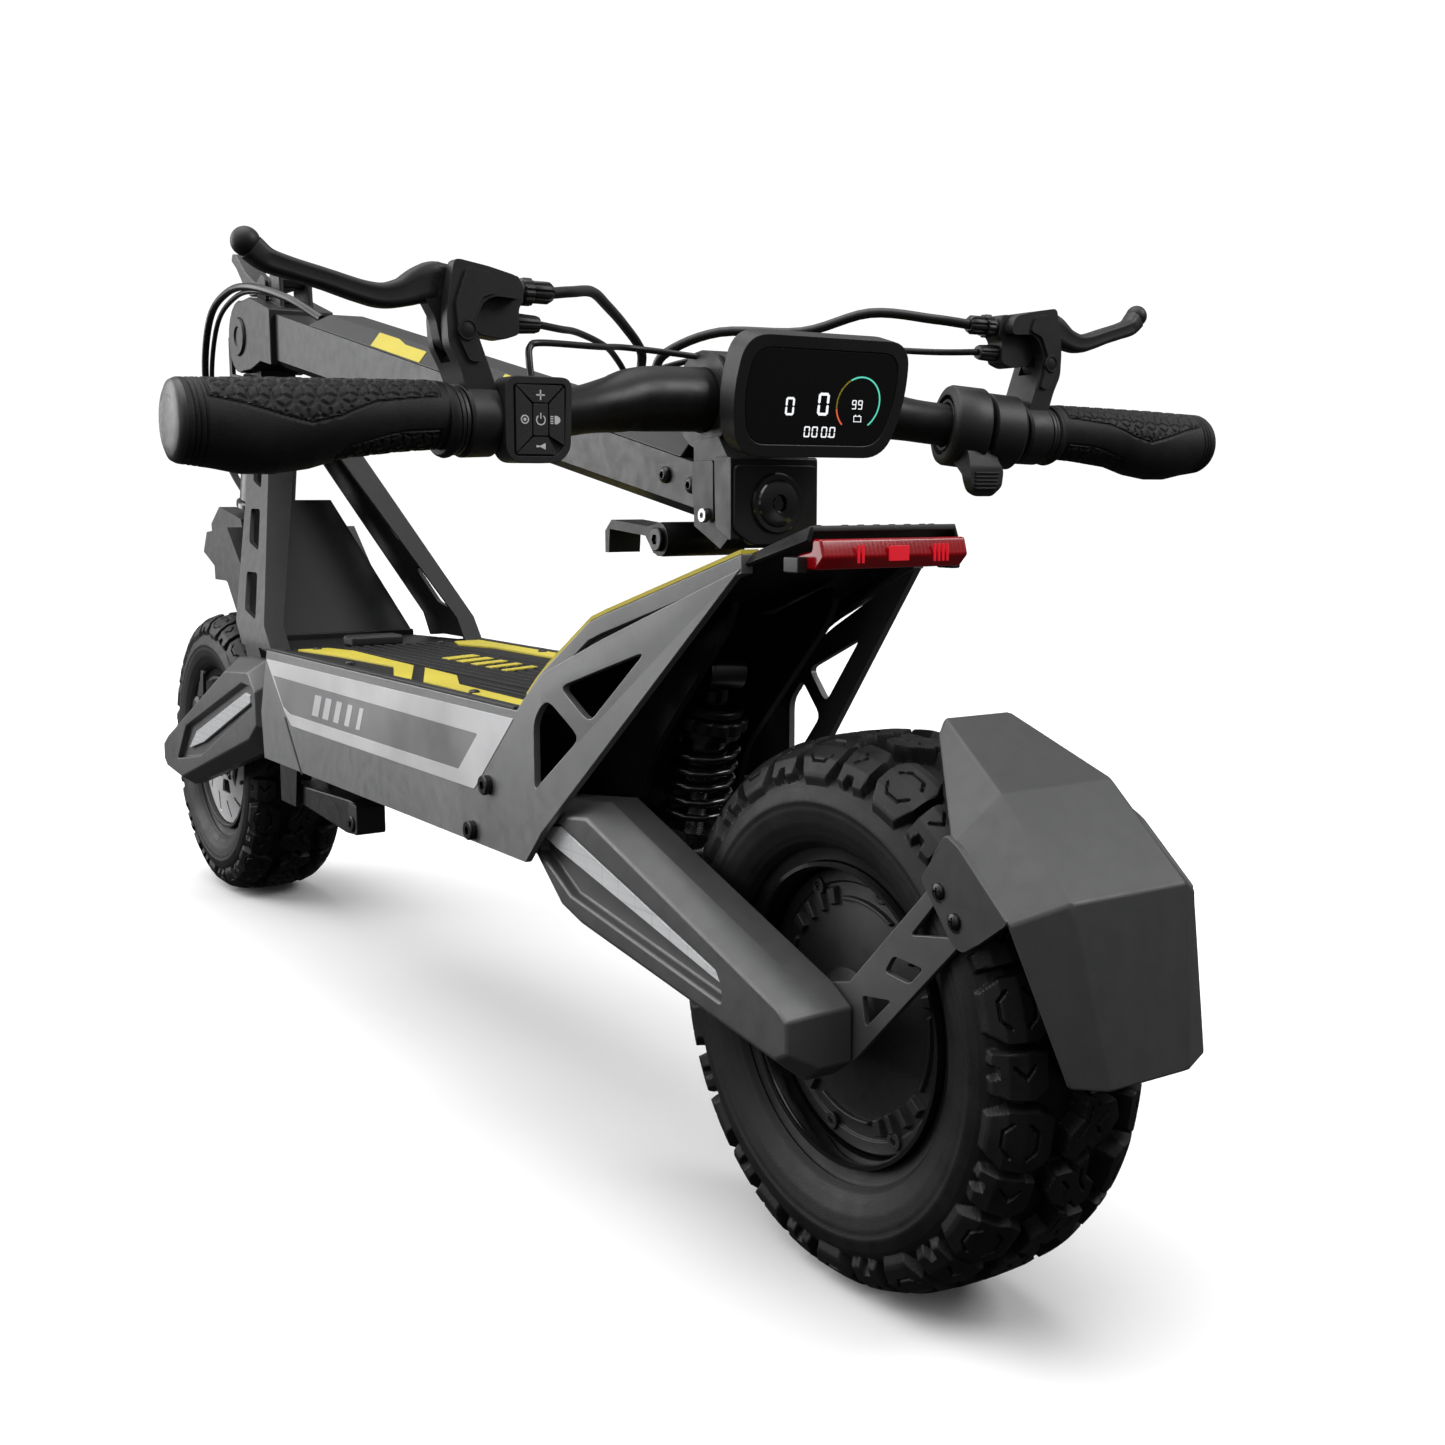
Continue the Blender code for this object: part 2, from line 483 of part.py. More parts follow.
# ---------------------------------------------------------------- front fork and arm
yoke = cylinder((on_axis(0.300) + on_axis(0.4680)) / 2, HEAD_A, 0.0140, (on_axis(0.4680) - on_axis(0.300)).length, 20)
crown = outline([(-0.925, 0.2850), (-0.9300, 0.3350), (-0.9050, 0.3500), (-0.8450, 0.3400), (-0.8300, 0.3080), (-0.8450, 0.2850)], -0.030, 0.030)
shoulder = outline([(-0.8700, 0.3120), (-0.8590, 0.3290), (-0.8020, 0.3340), (-0.7780, 0.3020), (-0.8000, 0.2860)], -0.0555, 0.0555)
LEG = [(-0.8700, 0.3120), (-0.8590, 0.3290), (-0.8020, 0.3340), (-0.7640, 0.3000), (-0.7400, 0.2500), (-0.7020, 0.2000), (-0.7020, 0.1760),
       (-0.7280, 0.1720), (-0.7760, 0.2560), (-0.8060, 0.2880)]
legs = [outline(LEG, x, x + 0.0065) for x in (0.0490, -0.0555)]
yoke = joined(yoke, [crown, shoulder, *legs])
yoke = joined(yoke, [cylinder((x, *FRONT_PIVOT), (1, 0, 0), 0.0073, 0.02, 16) for x in (0.052, -0.052)], "DIFFERENCE")
piece("fork_yoke", yoke, GREY, 0.4, 0.6, origin=HEAD_P)
piece("front_pivot_shaft", cylinder((0, *FRONT_PIVOT), (1, 0, 0), 0.0070, 2 * 0.0610, 16), (0.5, 0.5, 0.5), 0.3, 1.0, origin=(0, *FRONT_PIVOT))

FARM_RIDGE = [(-0.950, 0.1380), (-0.932, 0.1520), (-0.748, 0.2310), (-0.682, 0.2340), (-0.668, 0.2180), (-0.668, 0.1780), (-0.692, 0.1600),
              (-0.890, 0.1060), (-0.938, 0.1110), (-0.950, 0.1210)]
FARM_OUT = [(-0.942, 0.1370), (-0.928, 0.1450), (-0.750, 0.2200), (-0.692, 0.2240), (-0.676, 0.2100), (-0.676, 0.1840), (-0.695, 0.1710),
            (-0.888, 0.1140), (-0.934, 0.1180), (-0.942, 0.1230)]
farm = loft([[(x, *p) for p in ring] for x, ring in ((0.0565, FARM_RIDGE), (0.0660, FARM_RIDGE), (0.0780, FARM_OUT))])
farm = joined(farm, [cylinder((0.056, FRONT_Y, TYRE_R), (1, 0, 0), AXLE_R + GAP, 0.0104, 16),
                     cylinder((0.056, *FRONT_PIVOT), (1, 0, 0), 0.0073, 0.0106, 16)], "DIFFERENCE")
farm_r = mirrored(farm)
piece("front_arm_left", farm, CHARCOAL, 0.45, 0.5, origin=(0, *FRONT_PIVOT))
piece("front_arm_right", farm_r, CHARCOAL, 0.45, 0.5, origin=(0, *FRONT_PIVOT))
piece("front_axle", cylinder((0, FRONT_Y, TYRE_R), (1, 0, 0), AXLE_R, 0.1220, 16), (0.5, 0.5, 0.5), 0.3, 1.0, origin=(0, *FRONT_PIVOT))

# caliper: outside the tyre, with a nose that reaches in to the disc
CAL = [(-0.9080, 0.1830), (-0.9000, 0.1960), (-0.8600, 0.1800), (-0.8520, 0.1620), (-0.8620, 0.1560)]
NOSE = [(-0.9050, 0.1660), (-0.8940, 0.1780), (-0.8810, 0.1700), (-0.8880, 0.1580)]
caliper = joined(outline(CAL, 0.0428, 0.0555), [outline(NOSE, 0.0300, 0.0440), cylinder((0.0500, -0.886, 0.1780), (1, 0, 0), 0.0125, 0.0120, 16)])
piece("brake_caliper", caliper, BLACK, 0.4, 0.5, origin=(0, *FRONT_PIVOT))

# ---------------------------------------------------------------- fold joint and stem
base = ringed(0.4484, 0.4600, 0.0245, 0)
tongue = outline([(FOLD_P.y + 0.021 * math.cos(a), FOLD_P.z + 0.021 * math.sin(a)) for a in [math.radians(k) for k in range(-40, 221, 20)]]
                 + [(-0.8540, 0.4550), (-0.8220, 0.4550)], -0.0150, 0.0150)
catches = [outline([(-0.8450, 0.4500), (-0.8560, 0.4600), (-0.9000, 0.4660), (-0.9020, 0.4980), (-0.9070, 0.4980), (-0.9070, 0.4600), (-0.8600, 0.4520)], x, x + 0.0035)
           for x in (0.0115, -0.0150)]
base = joined(base, [tongue, *catches])
base = joined(base, [cylinder(FOLD_P, (1, 0, 0), 0.0063, 0.06, 16), cylinder(on_axis(0.452), HEAD_A, 0.0143, 0.0420, 20)], "DIFFERENCE")
piece("fold_base", base, CHARCOAL, 0.4, 0.6, origin=HEAD_P)
piece("fold_pin", cylinder(FOLD_P, (1, 0, 0), 0.0060, 2 * 0.0265, 16), (0.5, 0.5, 0.5), 0.3, 1.0, origin=FOLD_P)

SLOPE_LOW, SLOPE_TOP = -0.182, -0.204


def z_low(y):
    return 0.4665 + SLOPE_LOW * (y + 0.747)


def z_top(y):
    return 0.5026 + SLOPE_TOP * (y + 0.747)


def disc_points(r, a0, a1, n=10):
    return [(FOLD_P.y + r * math.cos(math.radians(a0 + (a1 - a0) * k / n)), FOLD_P.z + r * math.sin(math.radians(a0 + (a1 - a0) * k / n)))
            for k in range(n + 1)]


FOOT = disc_points(0.0300, 75, 285, 12) + [(-0.8120, 0.4640), (-0.7850, z_low(-0.785) - 0.004), (-0.7605, z_low(-0.7605) - 0.004),
                                        (-0.7605, z_top(-0.7605) + 0.004), (-0.8100, 0.5230)]
foot = outline(FOOT, -0.0270, 0.0270)
foot = joined(foot, [outline(disc_points(0.0320, 62, 285, 12) + [(-0.8190, 0.4560)] + disc_points(0.0225, 320, 422, 7), -0.0155, 0.0155),
                     cylinder(FOLD_P, (1, 0, 0), 0.0063, 0.06, 16)], "DIFFERENCE")
ears = [outline([(-0.7960, 0.5180), (-0.7960, 0.5400), (-0.7880, 0.5430), (-0.7720, 0.5400), (-0.7700, 0.5100)], x, x + 0.004) for x in (0.0100, -0.0140)]
foot = joined(foot, ears)
piece("stem_foot", foot, GREY, 0.35, 0.7, origin=FOLD_P)


def stem_ring(y, half=0.0225, low=0.0060):
    zl, zt = z_low(y), z_top(y)
    return [(-half, y, zl), (-half + 0.0075, y, zl - low), (half - 0.0075, y, zl - low), (half, y, zl), (half, y, zt), (-half, y, zt)]


tube_me = loft([stem_ring(y) for y in (-0.7600, -0.4500, -0.1325)])
tube_me = joined(tube_me, [box(-0.0160, -0.0040, -0.1720, -0.1560, 0.3330, 0.3560)])
tube_me = joined(tube_me, [cylinder((-0.01, *HOOK_P), (1, 0, 0), 0.0048, 0.03, 16)], "DIFFERENCE")
piece("stem_tube", tube_me, GREY, 0.35, 0.7, origin=FOLD_P)


def cover_ring(y, rise=0.0115):
    zt = z_top(y) + GAP
    return [(-0.0225, y, zt), (0.0225, y, zt), (0.0135, y, zt + rise), (-0.0135, y, zt + rise)]


piece("stem_cover", loft([cover_ring(-0.6850, 0.004), cover_ring(-0.6600), cover_ring(-0.1480)]), BLACK, 0.5, 0.2, origin=FOLD_P)

head = outline([(-0.1320, z_low(-0.132) - 0.0085), (-0.1320, 0.3880), (-0.1100, 0.3905), (-0.1000, 0.3780), (-0.0985, 0.3420), (-0.1080, 0.3350)], -0.0245, 0.0245)
ring = joined(cylinder((0, BAR_Y, BAR_Z), (1, 0, 0), 0.0245, 0.048, 24), [])
head = joined(head, [ring])
head = joined(head, [cylinder((0, BAR_Y, BAR_Z), (1, 0, 0), BAR_R + GAP, 0.2, 24)], "DIFFERENCE")
piece("stem_head", head, CHARCOAL, 0.4, 0.6, origin=FOLD_P)

BAR_HALF = [(0.050, BAR_Y, BAR_Z, BAR_R), (0.080, -0.1190, 0.4040, 0.0135), (0.105, -0.1100, 0.4000, 0.0111), (0.130, -0.1000, 0.3970, 0.0111),
            (0.152, -0.0930, 0.3945, 0.0111), (0.220, -0.0895, 0.3920, 0.0111), (0.296, -0.0870, 0.3895, 0.0111)]
bar_pts = [(-x, y, z) for x, y, z, _ in BAR_HALF[::-1]] + [(x, y, z) for x, y, z, _ in BAR_HALF]
bar_r = [r for *_, r in BAR_HALF[::-1]] + [r for *_, r in BAR_HALF]
piece("handlebar", tube(bar_pts, bar_r, 6), CHARCOAL, 0.3, 0.8, origin=FOLD_P)


def bar_between(x):
    """A point on the bar's straight runs, between the points that shape it."""
    xs = [p[0] for p in bar_pts]
    for a, b in zip(bar_pts, bar_pts[1:]):
        if a[0] <= x <= b[0]:
            t = (x - a[0]) / (b[0] - a[0])
            return Vector(a).lerp(Vector(b), t)
    return Vector(bar_pts[-1])


def sleeve(x0, x1, ro, ri, n=16, sx=1, rings=(0.0, 1.0), scale=None):
    """A sleeve on the bar from x0 to x1: an outer loft less a bore that follows the bar."""
    secs = []
    for t in rings:
        x = x0 + (x1 - x0) * t
        c = bar_between(x)
        r = ro(t) if callable(ro) else ro
        ry, rz, oy, oz = (r, r, 0, 0) if not isinstance(r, tuple) else r
        secs.append([(c.x, c.y + oy + ry * math.cos(2 * math.pi * k / n), c.z + oz + rz * math.sin(2 * math.pi * k / n)) for k in range(n)])
    me = loft(secs)
    xs = [x0 - 0.01] + [p[0] for p in bar_pts if x0 - 0.01 < p[0] < x1 + 0.01] + [x1 + 0.01]
    pts = []
    for x in xs:
        if x > BAR_HALF[-1][0]:
            a, b = Vector(bar_pts[-2]), Vector(bar_pts[-1])
            pts.append(b + (b - a).normalized() * (x - BAR_HALF[-1][0]))
        else:
            pts.append(bar_between(x))
    return joined(me, [tube(pts, ri, 6)], "DIFFERENCE")


def grip_radius(t):
    r = 0.0165 + 0.0014 * math.sin(math.pi * t)
    wing = math.exp(-((t - 0.62) / 0.26) ** 2)
    return (r + 0.0042 * wing, r + 0.0008 * wing, 0.0035 * wing, -0.0028 * wing)


grip = sleeve(0.1750, 0.2955, grip_radius, BORE, 18, rings=[k / 8 for k in range(9)])
grip_r = mirrored(grip)
piece("grip_left", grip, BLACK, 0.8, origin=FOLD_P)
piece("grip_right", grip_r, BLACK, 0.8, origin=FOLD_P)


def outline_xz(points, y0, y1):
    """A flat outline in the X-Z plane, extruded along Y."""
    me = outline([(-x, z) for x, z in points], y0, y1)
    me.transform(Matrix.Rotation(math.radians(90), 4, "Z"))
    return me


def shear_y(me, x0, slope):
    """Lean a piece forward along Y as it goes out along X from x0."""
    for v in me.vertices:
        v.co.y += slope * (v.co.x - x0)
    return me


# brake lever housings: a clamp round the bar and a slotted horn that carries the lever's pivot
LEVER_P = (0.1710, -0.0950, 0.4310)
hous = sleeve(0.1555, 0.1720, 0.0155, BORE, 16)
HORN = [(0.1560, 0.4040), (0.1715, 0.4040), (0.1690, 0.4140), (0.1600, 0.4240), (0.1600, 0.4480), (0.1760, 0.4530), (0.1700, 0.4640), (0.1460, 0.4650),
        (0.1420, 0.4400), (0.1480, 0.4200), (0.1556, 0.4125)]
CHEEK = [(0.1580, 0.4205), (0.1750, 0.4220), (0.1790, 0.4310), (0.1750, 0.4400), (0.1580, 0.4425)]
hous = joined(hous, [outline_xz(HORN, -0.1060, -0.0840), outline_xz(CHEEK, -0.1055, -0.0995), outline_xz(CHEEK, -0.0905, -0.0845)])
hous = joined(hous, [box(0.1605, 0.2000, -0.0995, -0.0905, 0.4165, 0.4750), tube([bar_between(x) for x in (0.13, 0.152, 0.19)], BORE, 6)],
              "DIFFERENCE")
hous_r = mirrored(hous)
piece("lever_housing_left", hous, BLACK, 0.4, 0.3, origin=FOLD_P)
piece("lever_housing_right", hous_r, BLACK, 0.4, 0.3, origin=FOLD_P)
BLADE = [(0.1715, 0.4250), (0.1775, 0.4290), (0.1860, 0.4420), (0.2080, 0.4470), (0.2400, 0.4555), (0.2520, 0.4560), (0.2580, 0.4610), (0.2570, 0.4690),
         (0.2480, 0.4705), (0.2380, 0.4655), (0.2080, 0.4565), (0.1860, 0.4520), (0.1780, 0.4500), (0.1660, 0.4370), (0.1640, 0.4310), (0.1660, 0.4260)]
blade = outline_xz(BLADE, -0.0990, -0.0910)
bm = bmesh.new()
bm.from_mesh(blade)
bmesh.ops.bisect_plane(bm, geom=bm.verts[:] + bm.edges[:] + bm.faces[:], plane_co=(0.1860, 0, 0), plane_no=(1, 0, 0))
for v in bm.verts:
    if v.co.x > 0.1860:
        v.co.y -= 0.26 * (v.co.x - 0.1860)
bm.to_mesh(blade)
bm.free()
blade_r = mirrored(blade)
piece("brake_lever_left", blade, BLACK, 0.4, 0.5, origin=LEVER_P)
piece("brake_lever_right", blade_r, BLACK, 0.4, 0.5, origin=(-LEVER_P[0], *LEVER_P[1:]))

# throttle on the right: a fixed housing and a turning collar with a paddle
thr = mirrored(sleeve(0.1370, 0.1500, 0.0180, BORE, 18))
piece("throttle_housing", thr, BLACK, 0.45, 0.2, origin=FOLD_P)
THR_X = (0.1090, 0.1290)
c0, c1 = bar_between(0.1070), bar_between(0.1299)
thr_axis = (c1 - c0).normalized()
thr_c = c0.lerp(c1, 0.5)
collar = cylinder(thr_c, thr_axis, 0.0175, 0.0150, 20)
paddle = outline_xz([(0.1120, 0.3900), (0.1250, 0.3900), (0.1260, 0.3700), (0.1300, 0.3600), (0.1270, 0.3560), (0.1130, 0.3560), (0.1100, 0.3600), (0.1120, 0.3700)], -0.0960, -0.0885)
thumb = joined(collar, [paddle])
thumb = joined(thumb, [cylinder(thr_c, thr_axis, BORE, 0.0400, 20)], "DIFFERENCE")
thumb = mirrored(thumb)
piece("thumb_throttle", thumb, BLACK, 0.5, 0.1, origin=(-thr_c.x, thr_c.y, thr_c.z))

# control pad and its five buttons
PAD = (0.1380, 0.3938)
pad_y0, pad_y1 = -0.0880, -0.0750
pad = box(PAD[0] - 0.0165, PAD[0] + 0.0165, pad_y0, pad_y1, PAD[1] - 0.0175, PAD[1] + 0.0175, 0.003)
pc = bar_between(0.1330)
pad = joined(pad, [cylinder(bar_between(0.1410), bar_between(0.15) - bar_between(0.135), 0.0150, 0.0090, 18)])
pad = joined(pad, [tube([bar_between(x) for x in (0.11, 0.13, 0.152, 0.17)], BORE, 6)], "DIFFERENCE")
BUTTONS = (("button_plus", 0.0, 0.0112, 0.0040, 0.0026), ("button_mode", 0.0106, 0.0, 0.0028, 0.0046), ("button_power", 0.0, 0.0, 0.0040, 0.0040),
           ("button_light", -0.0106, 0.0, 0.0028, 0.0046), ("button_horn", 0.0, -0.0112, 0.0040, 0.0026))
pad = joined(pad, [box(PAD[0] + dx - w - GAP, PAD[0] + dx + w + GAP, pad_y1 - 0.0030, pad_y1 + 0.001, PAD[1] + dz - h - GAP, PAD[1] + dz + h + GAP)
                   for _, dx, dz, w, h in BUTTONS], "DIFFERENCE")
piece("control_pad", pad, BLACK, 0.45, 0.1, origin=FOLD_P)
for name, dx, dz, w, h in BUTTONS:
    y0, y1 = pad_y1 - 0.0016, pad_y1 + 0.0012
    piece(name, box(PAD[0] + dx - w, PAD[0] + dx + w, y0, y1, PAD[1] + dz - h, PAD[1] + dz + h), (0.05, 0.05, 0.05), 0.5,
          origin=(PAD[0] + dx, (y0 + y1) / 2, PAD[1] + dz))

# display on an arm of its own behind the clamp
disp = box(-0.0525, 0.0525, -0.0720, -0.0560, 0.3805, 0.4375, 0.005)
disp = joined(disp, [box(-0.0150, 0.0150, -0.0995, -0.0710, 0.4000, 0.4160)])
piece("display", disp, BLACK, 0.2, 0.0, origin=FOLD_P)

# folding hook under the stem
hk = [(-0.1640, 0.3295), (-0.1550, 0.3385), (-0.1640, 0.3475), (-0.1800, 0.3450), (-0.2180, 0.3480), (-0.2250, 0.3420), (-0.2250, 0.3300), (-0.2210, 0.3300),
      (-0.2200, 0.3430), (-0.1820, 0.3400), (-0.1740, 0.3310)]
hook = outline(hk, 0.0030, 0.0230)
hook = joined(hook, [cylinder((0.0110, *HOOK_P), (1, 0, 0), 0.0088, 0.0290, 18)])
hook = joined(hook, [cylinder((-0.0100, *HOOK_P), (1, 0, 0), 0.0045, 0.030, 12)])
piece("folding_hook", hook, CHARCOAL, 0.4, 0.6, origin=(0, *HOOK_P))

# fold latch: a curved lever between the ears
LATCH_P = (-0.7830, 0.5340)
lt = [(-0.7800, 0.5290), (-0.7780, 0.5360), (-0.7850, 0.5400), (-0.8400, 0.5380), (-0.8700, 0.5500), (-0.8950, 0.5680), (-0.9050, 0.5700), (-0.9080, 0.5640),
      (-0.8950, 0.5560), (-0.8750, 0.5380), (-0.8600, 0.5290)]
latch = outline(lt, -0.0095, 0.0095)
piece("fold_latch", latch, CHARCOAL, 0.4, 0.6, origin=(0, *LATCH_P))

# ---------------------------------------------------------------- cables
LOOM = [(0.1415, -0.0990, 0.4560), (0.1180, -0.1150, 0.4610), (0.0900, -0.1380, 0.4600), (0.0600, -0.1640, 0.4560), (0.0300, -0.1920, 0.4470), (0.0110, -0.2120, 0.4330),
        (0.0060, -0.2200, z_top(-0.22) + 0.0175)]
looms = [tube(smooth([(s * x, y, z) for x, y, z in LOOM], 16), 0.0025, 2) for s in (1, -1)]


def over_cover(y, h):
    return (y, z_top(y) + GAP + 0.0115 + h)


grommet = outline([over_cover(-0.2320, 0.0004), over_cover(-0.2320, 0.0095), over_cover(-0.2060, 0.0095), over_cover(-0.2060, 0.0004)], -0.0120, 0.0120)
piece("bar_cables", joined(grommet, looms), BLACK, 0.4, origin=FOLD_P)
zc = z_top(-0.690) + 0.0055
loop = smooth([(0.0100, -0.6880, zc), (0.0220, -0.7300, 0.5150), (0.0330, -0.7900, 0.5290), (0.0335, -0.8500, 0.5290), (0.0310, -0.9050, 0.5130),
               (0.0260, -0.9420, 0.4700), (0.0180, -0.9500, 0.4200), (0.0080, -0.9330, 0.3820), (0.0000, -0.9170, 0.3590)], 24)
piece("front_cable_loop", tube(loop, 0.0045, 2), BLACK, 0.4, origin=FOLD_P)
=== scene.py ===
"""Looks of the folding electric kick scooter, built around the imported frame.

Coordinates in the builders are written with the rear axle at Y = 0 and the ground at Z = 0, as the CAD is;
every piece is then moved by DY into the row frame. +X is the rider's left, +Y the rear, +Z up, metres.
"""

import json
import math

import bmesh
import bpy
import numpy as np
from mathutils import Matrix, Vector

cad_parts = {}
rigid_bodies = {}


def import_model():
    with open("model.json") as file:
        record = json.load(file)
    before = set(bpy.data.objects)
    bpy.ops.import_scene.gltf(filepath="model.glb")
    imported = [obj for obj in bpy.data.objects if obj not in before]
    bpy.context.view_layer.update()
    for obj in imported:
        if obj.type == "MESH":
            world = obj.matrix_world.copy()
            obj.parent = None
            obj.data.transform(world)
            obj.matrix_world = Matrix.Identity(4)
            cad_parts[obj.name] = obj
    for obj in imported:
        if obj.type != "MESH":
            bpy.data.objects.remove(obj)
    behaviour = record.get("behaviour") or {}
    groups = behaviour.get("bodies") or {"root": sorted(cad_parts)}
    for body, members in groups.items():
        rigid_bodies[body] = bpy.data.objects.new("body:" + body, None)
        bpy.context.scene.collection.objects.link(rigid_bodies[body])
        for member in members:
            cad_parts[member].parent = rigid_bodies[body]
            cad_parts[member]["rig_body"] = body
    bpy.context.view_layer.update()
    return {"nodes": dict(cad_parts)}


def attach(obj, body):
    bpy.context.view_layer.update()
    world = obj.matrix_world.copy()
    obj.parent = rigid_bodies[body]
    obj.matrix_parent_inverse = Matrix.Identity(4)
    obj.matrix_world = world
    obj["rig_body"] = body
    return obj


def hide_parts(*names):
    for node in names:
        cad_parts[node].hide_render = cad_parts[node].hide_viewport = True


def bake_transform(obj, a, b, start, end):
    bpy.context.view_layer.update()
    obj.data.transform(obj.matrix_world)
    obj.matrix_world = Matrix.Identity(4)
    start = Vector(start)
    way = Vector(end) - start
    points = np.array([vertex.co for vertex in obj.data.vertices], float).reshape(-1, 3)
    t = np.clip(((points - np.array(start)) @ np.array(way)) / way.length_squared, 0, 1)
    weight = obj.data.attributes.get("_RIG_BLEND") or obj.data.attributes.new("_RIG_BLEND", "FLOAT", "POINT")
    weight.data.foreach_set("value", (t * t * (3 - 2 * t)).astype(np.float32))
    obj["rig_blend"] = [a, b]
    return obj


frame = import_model()
DY = 0.4455
NODES = frame["nodes"]
SHIFT = Matrix.Translation((0, DY, 0))
X, Y, Z = Vector((1, 0, 0)), Vector((0, 1, 0)), Vector((0, 0, 1))
AXLE_Z = 0.1275
WHEELS = (("rear_wheel", 0.0), ("front_wheel", -0.920))
HEAD_A = Vector((0, math.sin(math.radians(14)), math.cos(math.radians(14))))
HEAD_P = Vector((0, -0.860, 0.365))
FOLD_P = Vector((0, -0.838, 0.493))


# ---------------------------------------------------------------- materials
class Graph:
    """A small helper that builds one node material."""

    def __init__(self, name):
        self.mat = bpy.data.materials.new(name)
        self.mat.use_nodes = True
        self.t = self.mat.node_tree
        self.b = self.t.nodes["Principled BSDF"]
        self.coords = self.t.nodes.new("ShaderNodeTexCoord").outputs["Object"]

    def node(self, kind, **inputs):
        n = self.t.nodes.new(kind)
        for k, v in inputs.items():
            self.set(n, k, v)
        return n

    def set(self, n, key, v):
        s = n.inputs[key] if isinstance(key, int) else n.inputs[key.replace("_", " ")]
        if isinstance(v, bpy.types.NodeSocket):
            self.t.links.new(v, s)
        else:
            s.default_value = v

    def noise(self, scale, detail=3, rough=0.5, vec=None, distortion=0.0):
        n = self.node("ShaderNodeTexNoise", Scale=scale, Detail=detail, Roughness=rough, Distortion=distortion)
        self.t.links.new(vec or self.coords, n.inputs["Vector"])
        return n.outputs["Fac"]

    def ramp(self, fac, a, b, lo, hi):
        n = self.node("ShaderNodeMapRange", Value=fac)
        n.inputs["From Min"].default_value = a
        n.inputs["From Max"].default_value = b
        n.inputs["To Min"].default_value = lo
        n.inputs["To Max"].default_value = hi
        return n.outputs["Result"]

    def math(self, op, a, b=0.0):
        n = self.t.nodes.new("ShaderNodeMath")
        n.operation = op
        for k, v in enumerate((a, b)):
            if isinstance(v, bpy.types.NodeSocket):
                self.t.links.new(v, n.inputs[k])
            else:
                n.inputs[k].default_value = v
        return n.outputs[0]

    def mix(self, fac, a, b):
        n = self.t.nodes.new("ShaderNodeMix")
        n.data_type = "RGBA"
        for key, v in ((0, fac), (6, a), (7, b)):
            if isinstance(v, bpy.types.NodeSocket):
                self.t.links.new(v, n.inputs[key])
            else:
                n.inputs[key].default_value = v if key == 0 else (*v, 1)
        return n.outputs[2]

    def bump(self, height, strength, distance=0.001, normal=None):
        n = self.node("ShaderNodeBump", Height=height, Strength=strength, Distance=distance)
        if normal is not None:
            self.t.links.new(normal, n.inputs["Normal"])
        return n.outputs["Normal"]

    def edge(self, radius=0.0012):
        """1 near a sharp convex edge, 0 on a flat."""
        bev = self.node("ShaderNodeBevel", Radius=radius)
        bev.samples = 4
        geo = self.t.nodes.new("ShaderNodeNewGeometry")
        dot = self.t.nodes.new("ShaderNodeVectorMath")
        dot.operation = "DOT_PRODUCT"
        self.t.links.new(bev.outputs[0], dot.inputs[0])
        self.t.links.new(geo.outputs["Normal"], dot.inputs[1])
        return self.ramp(dot.outputs["Value"], 0.995, 0.90, 0.0, 1.0)

    def out(self, **k):
        for key, v in k.items():
            self.set(self.b, key, v)
        return self.mat


def paint(name, colour, rough=0.42, metal=0.55, grain=0.22, wear=0.35, coat=0.0, spread=0.18):
    """Satin powder coat: fine orange-peel grain, slow colour and gloss drift, and edges rubbed lighter."""
    g = Graph(name)
    slow = g.noise(9, 4, 0.6)
    fine = g.noise(2600, 2, 0.6)
    mid = g.noise(120, 3, 0.55)
    tone = g.mix(g.ramp(slow, 0.3, 0.7, 0, 1), tuple(c * (1 - spread) for c in colour), tuple(min(1, c * (1 + spread)) for c in colour))
    tone = g.mix(g.ramp(fine, 0.35, 0.65, 0, 0.35), tone, tuple(min(1, c * 1.5 + 0.004) for c in colour))
    scuff = g.ramp(g.noise(55, 4, 0.7), 0.42, 0.62, 0.25, 1.0)
    e = g.math("MULTIPLY", g.math("MULTIPLY", g.edge(), scuff), wear)
    tone = g.mix(e, tone, tuple(min(1, c * 2.6 + 0.05) for c in colour))
    r = g.math("ADD", g.ramp(mid, 0.3, 0.7, rough - 0.05, rough + 0.06), g.ramp(fine, 0.3, 0.7, -0.03, 0.03))
    n = g.bump(fine, grain, 0.0003)
    n = g.bump(mid, 0.05, 0.0006, n)
    return g.out(Base_Color=tone, Roughness=r, Normal=n, Metallic=metal, Coat_Weight=coat, Coat_Roughness=0.2)


def plastic(name, colour, rough=0.5, grain=0.3, scale=1800, spec=0.5, wear=0.2):
    g = Graph(name)
    fine = g.noise(scale, 3, 0.6)
    slow = g.noise(14, 4, 0.6)
    tone = g.mix(g.ramp(slow, 0.3, 0.7, 0, 1), tuple(c * 0.8 for c in colour), tuple(c * 1.25 for c in colour))
    tone = g.mix(g.math("MULTIPLY", g.edge(0.0008), wear), tone, tuple(min(1, c * 2.2 + 0.02) for c in colour))
    r = g.math("ADD", g.ramp(slow, 0.3, 0.7, rough - 0.04, rough + 0.05), g.ramp(fine, 0.3, 0.7, -0.04, 0.04))
    return g.out(Base_Color=tone, Roughness=r, Normal=g.bump(fine, grain, 0.0004), Specular_IOR_Level=spec)


